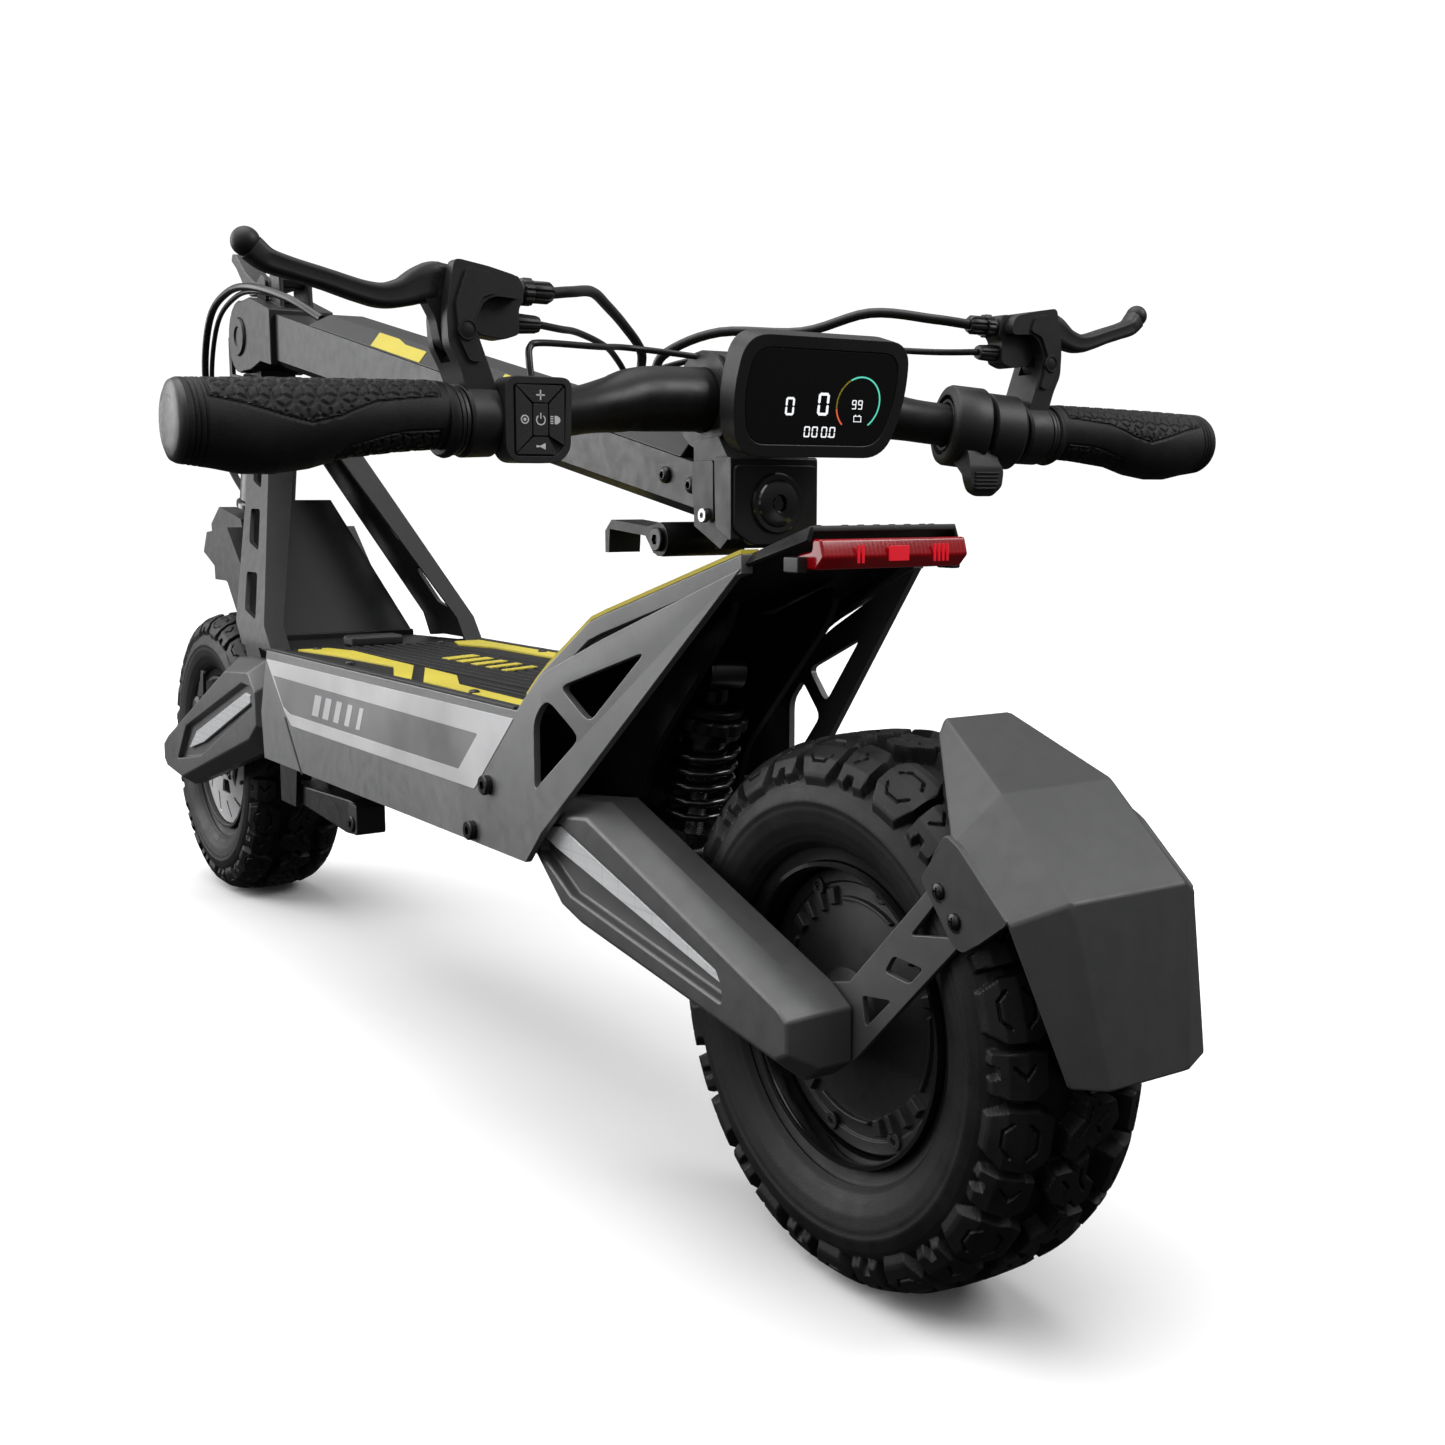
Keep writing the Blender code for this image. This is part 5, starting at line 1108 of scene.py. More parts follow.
blade = blade_mesh()
bead = bpy.data.meshes.new("bead")
bm = bmesh.new()
bmesh.ops.create_uvsphere(bm, u_segments=32, v_segments=20, radius=0.0060)
bmesh.ops.translate(bm, vec=(0.2580, -0.1015, 0.4628), verts=bm.verts)
bead = from_bm(bm)
root = prism(rounded([(0.1655, 0.4300), (0.1680, 0.4240), (0.1740, 0.4220), (0.1795, 0.4260), (0.1815, 0.4360), (0.1860, 0.4440), (0.1800, 0.4580), (0.1700, 0.4540), (0.1672, 0.4420)], 0.002, 3), -0.0973, -0.0897, "Y")
lever = join([blade, bead, root])
for sgn, tag in ((1, "left"), (-1, "right")):
    f = (lambda m: m.copy()) if sgn > 0 else mirror
    add(f"lever_body_{tag}", f(hb), "motor", "stem", bevel=0.0009, seg=3, angle=32, replaces=(f"lever_housing_{tag}",))
    add(f"lever_body_boss_{tag}", f(join([boss, stub1])), "motor", "stem", bevel=0.0010, seg=3)
    add(f"barrel_nut_{tag}", f(fluted(nut1.copy(), (0, -0.0945, 0.4502), 12, 0.0007)), "plastic", "stem")
    add(f"barrel_adjuster_{tag}", f(barrel1), "plastic", "stem")
    add(f"switch_adjuster_{tag}", f(barrel2), "plastic", "stem")
    add(f"lever_pivot_cap_{tag}", f(pivot_cap), "dark", "stem")
    add(f"lever_pivot_nut_{tag}", f(pivot_back), "darksteel", "stem")
    add(f"lever_blade_{tag}", f(lever), "motor", f"lever_{tag}", smooth=50, replaces=(f"brake_lever_{tag}",))

# ---------------------------------------------------------------- control pad
PX, PZ = 0.1400, 0.3940
pad = prism(rounded([(PX + 0.0165, PZ + 0.0150), (PX + 0.0135, PZ + 0.0185), (PX - 0.0135, PZ + 0.0185), (PX - 0.0160, PZ + 0.0155), (PX - 0.0150, PZ - 0.0130), (PX - 0.0095, PZ - 0.0185),
                     (PX + 0.0125, PZ - 0.0185), (PX + 0.0165, PZ - 0.0140)], 0.0035, 4), -0.0885, -0.0752, "Y")
face = prism(rounded([(PX + 0.0125, PZ + 0.0150), (PX - 0.0120, PZ + 0.0155), (PX - 0.0128, PZ + 0.0140), (PX - 0.0118, PZ - 0.0110), (PX - 0.0075, PZ - 0.0155), (PX + 0.0125, PZ - 0.0155)], 0.0015, 3), -0.0768, -0.0700, "Y")
pad = boolean(pad, [face])
collar = ring_on_bar(0.1350, 0.1470, [(0.0, 0.0121), (0.0, 0.0148), (0.1, 0.0156), (0.9, 0.0156), (1.0, 0.0148), (1.0, 0.0121)], 40)
add("pad_case", pad, "plastic", "stem", bevel=0.0016, seg=3, replaces=("control_pad",))
add("pad_collar", collar, "plastic", "stem")
gap, W, H, cw, ch = 0.0003, 0.0118, 0.0148, 0.0036, 0.0068


def key(points, name, body):
    me = prism(rounded([(PX + a, PZ + b) for a, b in points], 0.0007, 3), -0.0770, -0.0746, "Y")
    add(f"key_{name}", me, "plastic2", body, bevel=0.0005, seg=3, replaces=(f"button_{name}",))


# +X is to the left of the person who looks at the keys
key([(-cw, -ch), (cw, -ch), (cw, ch), (-cw, ch)], "power", "power_key")
key([(-W + 0.0006, H), (W, H), (cw, ch + gap * 2), (-cw, ch + gap * 2)], "plus", "plus_key")
key([(-W + 0.004, -H), (W, -H), (cw, -ch - gap * 2), (-cw, -ch - gap * 2)], "horn", "horn_key")
key([(W, H - gap * 2), (W, -H + gap * 2), (cw + gap * 2, -ch), (cw + gap * 2, ch)], "mode", "mode_key")
key([(-W, H - gap * 2), (-W + 0.0004, -H + 0.0040), (-cw - gap * 2, -ch), (-cw - gap * 2, ch)], "light", "light_key")


ICON = {}


def ink(parts, name, body):
    me = join([prism([(PX + a, PZ + b) for a, b in p], -0.0747, -0.07448, "Y") if not isinstance(p, bpy.types.Mesh) else p for p in parts])
    xs, zs = [v.co.x for v in me.vertices], [v.co.z for v in me.vertices]
    cx, cz = ICON.setdefault(body, ((min(xs) + max(xs)) / 2, (min(zs) + max(zs)) / 2))
    for v in me.vertices:
        v.co.x, v.co.z = cx + (v.co.x - cx) * 1.3, cz + (v.co.z - cz) * 1.3
    add(f"mark_{name}", me, "ink", body)


def arc(cx, cz, r, w, a0, a1, y0, y1, n=24):
    out = [(cx + (r + w / 2) * math.cos(a0 + (a1 - a0) * k / n), cz + (r + w / 2) * math.sin(a0 + (a1 - a0) * k / n)) for k in range(n + 1)]
    out += [(cx + (r - w / 2) * math.cos(a1 + (a0 - a1) * k / n), cz + (r - w / 2) * math.sin(a1 + (a0 - a1) * k / n)) for k in range(n + 1)]
    return prism(out, y0, y1, "Y")


ink([[(-0.0016, 0.0103), (0.0016, 0.0103), (0.0016, 0.0108), (-0.0016, 0.0108)]], "plus_bar", "plus_key")
ink([[(-0.00025, 0.0089), (0.00025, 0.0089), (0.00025, 0.0122), (-0.00025, 0.0122)]], "plus_post", "plus_key")
ink([arc(PX, PZ, 0.0016, 0.0004, math.radians(125), math.radians(415), -0.0747, -0.07448), [(-0.0002, 0.0004), (0.0002, 0.0004), (0.0002, 0.0023), (-0.0002, 0.0023)]], "power", "power_key")
ink([arc(PX + 0.0077, PZ, 0.0013, 0.0004, 0, math.radians(359), -0.0747, -0.07448), arc(PX + 0.0077, PZ, 0.0003, 0.0005, 0, math.radians(359), -0.0747, -0.07448)], "mode", "mode_key")
ink([[(-0.0068, 0.0014), (-0.0078, 0.0014), (-0.0087, 0.0008), (-0.0090, 0), (-0.0087, -0.0008), (-0.0078, -0.0014), (-0.0068, -0.0014)]]
    + [[(-0.0063, z), (-0.0052, z), (-0.0052, z + 0.0004), (-0.0063, z + 0.0004)] for z in (-0.0013, -0.0006, 0.0002, 0.0009)], "light", "light_key")
ink([[(0.0018, -0.0110), (0.0018, -0.0118), (0.0004, -0.0116), (-0.0016, -0.0125), (-0.0016, -0.0103), (0.0004, -0.0112)]], "horn", "horn_key")

# ---------------------------------------------------------------- display
TILT = Matrix.Translation((0, -0.0640, 0.4090)) @ Matrix.Rotation(math.radians(-15), 4, "X") @ Matrix.Translation((0, 0.0640, -0.4090))


def tilt(me):
    """The display leans about the bar: its top is nearer the rider."""
    me.transform(TILT)
    return me


def lean(me):
    for v in me.vertices:
        v.co.x += 0.187 * (v.co.z - 0.4090)
    return me


DISP = rounded([(0.0478, 0.4368), (-0.0478, 0.4368), (-0.0508, 0.4080), (-0.0440, 0.3798), (0.0440, 0.3798), (0.0508, 0.4080)], 0.0135, 8)
case = prism(DISP, -0.0700, -0.0575, "Y")
back = prism(rounded([(0.0440, 0.4300), (-0.0450, 0.4300), (-0.0450, 0.3860), (0.0440, 0.3860)], 0.012, 6), -0.0760, -0.0695, "Y")
neck = prism(rounded([(-0.1000, 0.4120), (-0.0700, 0.4200), (-0.0700, 0.3960), (-0.0960, 0.3910)], 0.002, 2), -0.0150, 0.0150, "X")
case = boolean(case, [back, neck], "UNION")
well = prism(rounded([(0.0420, 0.4308), (-0.0420, 0.4308), (-0.0446, 0.4080), (-0.0386, 0.3858), (0.0386, 0.3858), (0.0446, 0.4080)], 0.0098, 8), -0.0585, -0.0500, "Y")
case = boolean(case, [well])
add("display_case", tilt(case), "plastic", "stem", bevel=0.0022, seg=4, angle=40, replaces=("display",))
pane = prism(rounded([(0.0417, 0.4305), (-0.0417, 0.4305), (-0.0443, 0.4080), (-0.0383, 0.3861), (0.0383, 0.3861), (0.0443, 0.4080)], 0.0096, 8), -0.0590, -0.0578, "Y")
add("display_pane", tilt(pane), "glass", "stem", bevel=0.0003, seg=2)
FY0, FY1 = -0.05785, -0.05765
SEGS = {"0": "abcdef", "9": "abcdfg", "5": "acdfg", "8": "abcdefg"}


def digit(ch, cx, cz, w, h, t, slant=0.12):
    """A seven-segment digit. +X is to the left of the person who reads it."""
    out = []
    hw, hh = w / 2, h / 2
    g = t * 0.18
    def bar_h(z):
        return [(-hw + g + t * 0.3, z), (-hw + t * 0.8, z + t / 2), (hw - t * 0.8, z + t / 2), (hw - g - t * 0.3, z), (hw - t * 0.8, z - t / 2), (-hw + t * 0.8, z - t / 2)]
    def bar_v(x, z0, z1):
        return [(x, z0 + g), (x + t / 2, z0 + t * 0.6), (x + t / 2, z1 - t * 0.6), (x, z1 - g), (x - t / 2, z1 - t * 0.6), (x - t / 2, z0 + t * 0.6)]
    shapes = {"a": bar_h(hh - t / 2), "g": bar_h(0), "d": bar_h(-hh + t / 2), "b": bar_v(hw - t / 2, 0, hh - t / 4), "c": bar_v(hw - t / 2, -hh + t / 4, 0),
              "f": bar_v(-hw + t / 2, 0, hh - t / 4), "e": bar_v(-hw + t / 2, -hh + t / 4, 0)}
    for s in SEGS[ch]:
        out.append(prism([(cx - (a + b * slant), cz + b) for a, b in shapes[s]], FY0, FY1, "Y"))
    return out


lit = digit("0", 0.0187, 0.4040, 0.0050, 0.0085, 0.0010) + digit("0", -0.0008, 0.4055, 0.0064, 0.0108, 0.0013)
lit += digit("9", -0.0192, 0.4058, 0.0026, 0.0044, 0.00045) + digit("9", -0.0229, 0.4058, 0.0026, 0.0044, 0.00045)
for k, x in enumerate((0.0088, 0.0042, -0.0014, -0.0062)):
    lit += digit("0", x, 0.3922, 0.0034, 0.0052, 0.0006)
lit.append(prism([(-0.0037, 0.3898), (-0.0043, 0.3898), (-0.0043, 0.3904), (-0.0037, 0.3904)], FY0, FY1, "Y"))
lit += [prism([(-0.0190 - a, 0.3975 + b), (-0.0190 - c, 0.3975 + b), (-0.0190 - c, 0.3975 + d), (-0.0190 - a, 0.3975 + d)], FY0, FY1, "Y")
        for a, b, c, d in ((0, 0, 0.0046, 0.0003), (0, 0.0026, 0.0046, 0.0029), (0, 0, 0.0003, 0.0028), (0.0043, 0, 0.0046, 0.0028), (0.0008, 0.0029, 0.0015, 0.0034), (0.0031, 0.0029, 0.0038, 0.0034))]
add("display_segments", tilt(lean(join(lit))), "lit", "stem")
for tag, a0, a1, mat, n in (("green", 60, 232, "lit_green", 40), ("red", -52, -12, "lit_red", 20), ("mid", -11, 59, "yellow", 20)):
    add(f"display_arc_{tag}", tilt(arc(-0.0222, 0.4062, 0.0128, 0.0007, math.radians(a0), math.radians(a1), FY0, FY1, n)), mat, "stem")

# ---------------------------------------------------------------- throttle
th = mirror(ring_on_bar(0.1370, 0.1553, [(0.0, 0.0121), (0.0, 0.0180), (0.06, 0.0196), (0.90, 0.0196), (1.0, 0.0178), (1.0, 0.0121)], 56))
add("throttle_body", th, "plastic", "stem", smooth=40, replaces=("throttle_housing",))
TC = (bar(0.1160) + bar(0.1366)) / 2
TA = (bar(0.1366) - bar(0.1160)).normalized()
drum = turned([(-0.0102, 0.0160), (-0.0102, 0.0186), (-0.0092, 0.0205), (-0.0076, 0.0213), (0.0088, 0.0215), (0.0099, 0.0208), (0.0099, 0.0121), (-0.0062, 0.0121), (-0.0062, 0.0160)], TC, TA, 72, closed=True)
lever_yz = rounded([(-0.0960, 0.3860), (-0.0850, 0.3850), (-0.0826, 0.3760), (-0.0822, 0.3660), (-0.0842, 0.3606), (-0.0885, 0.3608), (-0.0892, 0.3720), (-0.0960, 0.3785)], 0.0014, 3)
paddle = prism(lever_yz, 0.1150, 0.1410, "X")
shape = prism(rounded([(0.1165, 0.3950), (0.1165, 0.3700), (0.1188, 0.3635), (0.1250, 0.3603), (0.1330, 0.3603), (0.1385, 0.3655), (0.1400, 0.3745), (0.1366, 0.3795), (0.1366, 0.3950)], 0.0024, 4), -0.1150, -0.0700, "Y")
paddle = boolean(paddle, [shape], "INTERSECT")
paddle = boolean(paddle, [rod(TC, TA, 0.0121, 0.05, 48)])
ribs = [prism([(0.1196, z), (0.1368 - 0.22 * (0.3745 - z), z), (0.1368 - 0.22 * (0.3745 - z), z + 0.0009), (0.1196, z + 0.0009)], -0.0836, -0.0814, "Y") for z in (0.3645, 0.3665, 0.3685, 0.3705, 0.3725)]
add("throttle_drum", mirror(drum), "plastic", "throttle", smooth=40, replaces=("thumb_throttle",))
add("throttle_paddle", mirror(paddle), "plastic", "throttle", bevel=0.0014, seg=3)
add("throttle_tip_ribs", mirror(join(ribs)), "plastic2", "throttle", bevel=0.0003)
inner_ring = turned([(-0.0096, 0.0121), (-0.0096, 0.0136), (-0.0086, 0.0140), (-0.0058, 0.0140), (-0.0058, 0.0121)], TC, TA, 56, closed=True)
add("throttle_seal", mirror(inner_ring), "gloss", "throttle")

# ---------------------------------------------------------------- handlebar cables
runs = []
for s in (1, -1):
    e = 0.0030 if s > 0 else -0.0060
    k = 1 if s > 0 else -1
    runs.append(pipe(curve([(k * 0.1238, -0.0945, 0.4504), (k * 0.1080, -0.1040, 0.4530), (k * 0.0840, -0.1280, 0.4568), (k * 0.0600, -0.1560, 0.4545 if s > 0 else 0.4480),
                            (k * 0.0300, -0.1900, 0.4490), (e + k * 0.0040, -0.2120, 0.4390), (e, -0.2190, 0.4270), (e, -0.2190, 0.4080)], 44), 0.0026, 12))
    runs.append(pipe(curve([(k * 0.1300, -0.0945, 0.4364), (k * 0.1120, -0.1080, 0.4365), (k * 0.0860, -0.1400, 0.4390), (k * 0.0560, -0.1700, 0.4375),
                            (k * 0.0280, -0.2060, 0.4360), (e + 0.0055, -0.2250, 0.4250), (e + 0.0055, -0.2240, 0.4080)], 40), 0.0017, 10))
runs.append(pipe(curve([(0.1383, -0.0860, 0.4110), (0.1383, -0.0880, 0.4200), (0.1365, -0.0905, 0.4262), (0.1290, -0.0930, 0.4285), (0.0900, -0.1120, 0.4300), (0.0569, -0.1400, 0.4330), (0.0200, -0.1280, 0.4290), (0.0109, -0.1000, 0.4230)], 44), 0.0016, 10))
add("handlebar_cables", join(runs), "cable", "stem", smooth=60, replaces=("bar_cables",))
add("cable_grommet", pipe([Vector((0.0, -0.2220, 0.4040)), Vector((0.0, -0.2200, 0.4080)), Vector((0.0, -0.2180, 0.4160))], [0.0130, 0.0120, 0.0095], 32), "plastic", "stem", bevel=0.0010)

# ---------------------------------------------------------------- side plates: band, panel, screws
BAND = [(-0.6225, 0.2410), (-0.2168, 0.2426), (-0.2676, 0.1969), (-0.5728, 0.1969), (-0.5867, 0.2062)]
PANEL = [(-0.6083, 0.2300), (-0.2620, 0.2290), (-0.2886, 0.2054), (-0.5750, 0.2052), (-0.5888, 0.2090)]
BARS = [(-0.5290 + 0.0205 * k, 0.0125 - 0.0014 * k) for k in range(5)]
for sgn, tag in ((1, "left"), (-1, "right")):
    f = (lambda m: m) if sgn > 0 else mirror
    add(f"side_band_{tag}", f(prism(rounded(BAND, 0.0012, 2), 0.0847, 0.08535, holes=[rounded(PANEL, 0.0012, 2)])), "white", "frame", bevel=0.0001, seg=1)
    add(f"side_panel_{tag}", f(prism(rounded(PANEL, 0.0012, 2), 0.0847, 0.08525)), "band", "frame")
    add(f"side_bars_{tag}", f(join([prism([(y, 0.2095), (y + w, 0.2095), (y + w + 0.0085, 0.2245), (y + 0.0085, 0.2245)], 0.0850, 0.0854) for y, w in BARS])), "white", "frame")
    heads = [screw((0.0852, y, z), (1, 0, 0), 0.0056, 0.0042, "hex", "cap") for y, z in ((-0.2493, 0.2020), (-0.2702, 0.1729))]
    add(f"side_screws_{tag}", f(join(heads)), "darksteel", "frame")
    seam = prism([(-0.5880, 0.2015), (-0.5560, 0.1640), (-0.5530, 0.1640), (-0.5845, 0.2015)], 0.0846, 0.0853)
    add(f"side_seam_{tag}", f(seam), "dark", "frame")
    lips = join([prism(rounded([(y0 + (y1 - y0) * a, z0 + (z1 - z0) * a) for a in (0, 1)] + [(y1, z1 + 0.0016), (y0, z0 + 0.0016)], 0.0004, 2), 0.0790, 0.0846)
                 for (y0, z0), (y1, z1) in (((-0.6180, 0.2476), (-0.2170, 0.2476)),)])
    add(f"deck_kerb_{tag}", f(lips), "plastic", "frame", bevel=0.0004)
    rail = []
    for (y0, z0), (y1, z1) in zip(((-0.213, 0.2478), (-0.183, 0.2709), (-0.139, 0.2909), (-0.048, 0.3270)), ((-0.183, 0.2709), (-0.139, 0.2909), (-0.048, 0.3270))):
        rail.append((y0, z0))

# ---------------------------------------------------------------- deck mat
DZ = 0.2475
ribs = []
for k in range(9):
    x = -0.0375 + 0.0086 * k
    ribs.append(block(x, x + 0.0050, -0.6010, -0.2190, DZ - 0.0005, DZ + 0.0016))
for x in (0.0445, 0.0520):
    if x < 0.06:
        ribs.append(block(x, x + 0.0022, -0.3500 + (x - 0.0425) * 1.2, -0.2200, DZ - 0.0005, DZ + 0.0012))
add("deck_ribs", join(ribs), "deck", "frame", bevel=0.0006, seg=2)
YL1 = [(0.0690, -0.6010), (0.0455, -0.6010), (0.0375, -0.5700), (0.0425, -0.4494), (0.0755, -0.3760), (0.0770, -0.4004), (0.0545, -0.4550), (0.0600, -0.5426)]
YL2 = [(0.0413, -0.4339), (0.0440, -0.3780), (0.0630, -0.3330), (0.0660, -0.2200), (0.0775, -0.2200), (0.0745, -0.3600)]
YR1 = [(-0.0775, -0.6010), (-0.0560, -0.6010), (-0.0480, -0.5760), (-0.0600, -0.5380), (-0.0610, -0.3900), (-0.0740, -0.3700), (-0.0775, -0.4000)]
YR2 = [(-0.0480, -0.3650), (-0.0500, -0.3300), (-0.0630, -0.3050), (-0.0650, -0.2200), (-0.0775, -0.2200), (-0.0760, -0.3300)]
add("deck_accents", join([prism(rounded(p, 0.0015, 2), DZ - 0.0004, DZ + 0.0013, "Z") for p in (YL1, YL2, YR1, YR2)]), "yellow", "frame", bevel=0.0003, seg=2)
add("deck_chevrons", join([prism([(-0.0190, y), (0.0090, y + 0.0110), (0.0090, y + 0.0110 + w), (-0.0190, y + w)], DZ + 0.0012, DZ + 0.0021, "Z")
                           for y, w in [(-0.4900 + 0.0230 * i, 0.0130 - 0.0012 * i) for i in range(5)]]), "yellow", "frame")
dheads = [screw((x, y, DZ + 0.0008), (0, 0, 1), 0.0034, 0.0020, "hex", "button") for x, y in ((0.0725, -0.4860), (0.0735, -0.2900), (-0.0725, -0.4860), (0.0560, -0.5950), (-0.0420, -0.5950), (-0.0735, -0.2900))]
add("deck_screws", join(dheads), "darksteel", "frame")
port = block(-0.0165, 0.0245, -0.6260, -0.6060, DZ, 0.2555)
add("charge_port_lid", port, "plastic", "frame", bevel=0.0022, seg=3)
# ---------------------------------------------------------------- kick plate
KT = [(-0.2155, 0.2480), (-0.183, 0.2735), (-0.148, 0.3005), (-0.046, 0.3362), (-0.010, 0.3485)]


def kick_strip(x0, x1, y0, y1, t):
    ys = [y0] + [p[0] for p in KT if y0 < p[0] < y1] + [y1]
    zs = np.interp(ys, [p[0] for p in KT], [p[1] for p in KT])
    out = [(y, z - 0.0004) for y, z in zip(ys, zs)] + [(y, z + t) for y, z in list(zip(ys, zs))[::-1]]
    return prism(out, x0, x1, "X")


def toe_x(y):
    return 0.0800 - max(0.0, (y + 0.187)) * 0.215


def kick_edge(inset, width, y0, y1, t, sgn=1):
    """A strip on the kick plate that follows its tapering side."""
    n = 14
    secs = []
    for k in range(n + 1):
        y = y0 + (y1 - y0) * k / n
        z = float(np.interp(y, [p[0] for p in KT], [p[1] for p in KT]))
        x1 = toe_x(y) - inset
        secs.append([Vector((sgn * (x1 - width), y, z - 0.0004)), Vector((sgn * x1, y, z - 0.0004)), Vector((sgn * x1, y, z + t)), Vector((sgn * (x1 - width), y, z + t))])
    me = loft(secs)
    bm = to_bm(me)
    bmesh.ops.recalc_face_normals(bm, faces=bm.faces)
    return from_bm(bm, "strip")


add("kick_stripes", join([kick_edge(-0.0030, 0.0100, -0.2050, -0.0480, 0.0016, s) for s in (1, -1)]), "yellow", "frame")
add("kick_ribs", join([kick_strip(-0.0400 + 0.0064 * k, -0.0400 + 0.0064 * k + 0.0032, -0.2060, -0.0500, 0.0013) for k in range(13)]), "deck", "frame", bevel=0.0004)
kn = Vector((0, -0.0123, 0.0360)).normalized()
kheads = [screw((x, -0.0180, 0.3457), kn, 0.0040, 0.0022, "hex", "button") for x in (0.0330, -0.0330)]
kheads += [screw((x, -0.1950, float(np.interp(-0.195, [p[0] for p in KT], [p[1] for p in KT]))), Vector((0, -0.025, 0.032)).normalized(), 0.0036, 0.0020, "hex", "button") for x in (0.0480, -0.0480)]
add("kick_screws", join(kheads), "darksteel", "frame")
add("kick_grip_blocks", join([kick_strip(x, x + 0.0042, -0.0300, -0.0120, 0.0009) for x in (-0.0260, -0.0170, -0.0080, 0.0010, 0.0100, 0.0190)]), "deck", "frame", bevel=0.0006)
# ---------------------------------------------------------------- tail light
for s, tag in ((1, "left"), (-1, "right")):
    m = block(0.0420, 0.0475, -0.0230, -0.0120, 0.3275, 0.3345)
    add(f"tail_mount_{tag}", m if s > 0 else mirror(m), "plastic", "frame", bevel=0.0008)
lens = prism(rounded([(-0.0330, 0.3302), (0.0330, 0.3302), (0.0385, 0.3350), (0.0350, 0.3410), (-0.0350, 0.3410), (-0.0385, 0.3350)], 0.001, 2), -0.0080, 0.0002, "Y")
inner = join([block(-0.0055 + d, 0.0055 + d, -0.0006, 0.0007, 0.3325, 0.3392) for d in (0.0,)] + [block(x, x + 0.0008, -0.0006, 0.0006, 0.3318, 0.3398) for x in (-0.0290, -0.0265, -0.0240, -0.0215, 0.0200, 0.0225)])
add("tail_segments", inner, "red_hot", "frame", bevel=0.0002)
# ---------------------------------------------------------------- neck and head
for s, tag in ((1, "left"), (-1, "right")):
    wheads = [screw((s * 0.0700, -0.6190, 0.2600), (0, 1, 0), 0.0036, 0.0022, "hex", "button")]
cup_lo = turned([(0.0, 0.0170), (0.0, 0.0235), (0.0012, 0.0262), (0.0050, 0.0262), (0.0065, 0.0240), (0.0065, 0.0170)], HEAD_P - HEAD_A * 0.0165, HEAD_A, 64, closed=True)
cup_hi = turned([(0.0, 0.0170), (0.0, 0.0240), (0.0015, 0.0262), (0.0055, 0.0262), (0.0070, 0.0235), (0.0070, 0.0170)], HEAD_P + HEAD_A * 0.0770, HEAD_A, 64, closed=True)
add("headset_cups", join([cup_lo, cup_hi]), "gloss", "frame", smooth=40)
# ---------------------------------------------------------------- front arms
F_REC = [(-0.8980, 0.1290), (-0.8690, 0.1610), (-0.7080, 0.2140), (-0.6860, 0.2130), (-0.6840, 0.1980), (-0.8300, 0.1400)]
F_REF = [(-0.8671, 0.1420), (-0.8417, 0.1600), (-0.7040, 0.2070), (-0.6930, 0.2060), (-0.6930, 0.2000), (-0.8227, 0.1529)]
for sgn, tag in ((1, "left"), (-1, "right")):
    cut = recess(F_REC, 0.0782, 0.0050)
    refl = prism(F_REF, 0.0738, 0.0764)
    if sgn < 0:
        cut, refl = mirror(cut), mirror(refl)
    soften(f"front_arm_{tag}", "arm", bevel=0.0014, seg=3, cuts=[cut])
    add(f"front_arm_reflector_{tag}", refl, "reflector", "front_arm", bevel=0.0005, seg=2)
    nuts = join([turned([(0, 0), (0, 0.0098), (0.0050, 0.0098), (0.0062, 0.0086), (0.0062, 0.0050), (0.0078, 0.0048), (0.0084, 0.0040), (0.0084, 0)], (sgn * 0.0600, y, z), (sgn, 0, 0), 6) for y, z in ((-0.920, AXLE_Z),)])
    add(f"front_axle_nut_{tag}", nuts, "steel", "front_arm", bevel=0.0003)
pv = [screw((0.0655, -0.7160, 0.1870), (1, 0, 0), 0.0090, 0.0030, "hex", "button")]
# ---------------------------------------------------------------- front disc and caliper
disc = turned([(0.0273, 0.0220), (0.0273, 0.0650), (0.0295, 0.0650), (0.0295, 0.0220)], (0, -0.920, AXLE_Z), X, 120, closed=True)
slots = []
for k in range(12):
    a = 2 * math.pi * k / 12
    pts = []
    for t, w in ((0.0455, 0.0022), (0.0520, 0.0022), (0.0600, 0.0022)):
        b = a + (t - 0.0455) * 14
        pts.append((-0.920 + t * math.cos(b) - w * math.sin(b), AXLE_Z + t * math.sin(b) + w * math.cos(b)))
    for t, w in ((0.0600, 0.0022), (0.0520, 0.0022), (0.0455, 0.0022)):
        b = a + (t - 0.0455) * 14
        pts.append((-0.920 + t * math.cos(b) + w * math.sin(b), AXLE_Z + t * math.sin(b) - w * math.cos(b)))
    slots.append(prism(pts, 0.0260, 0.0310))
for k in range(6):
    a = 2 * math.pi * (k + 0.5) / 6
    pts = [(-0.920 + r * math.cos(a + s / r), AXLE_Z + r * math.sin(a + s / r)) for r, s in ((0.0270, -0.0085), (0.0270, 0.0085), (0.0400, 0.0125), (0.0400, -0.0125))]
    slots.append(prism(rounded(pts, 0.003, 3), 0.0260, 0.0310))
disc = boolean(disc, [join(slots)])
add("brake_disc_cut", disc, "disc", "front_wheel", bevel=0.0002, seg=1, replaces=("brake_disc",))
rot = join([screw((0.0294, -0.920 + 0.0245 * math.cos(a), AXLE_Z + 0.0245 * math.sin(a)), (1, 0, 0), 0.0030, 0.0016, "hex", "button") for a in [2 * math.pi * k / 6 for k in range(6)]])
add("disc_bolts", rot, "darksteel", "front_wheel")
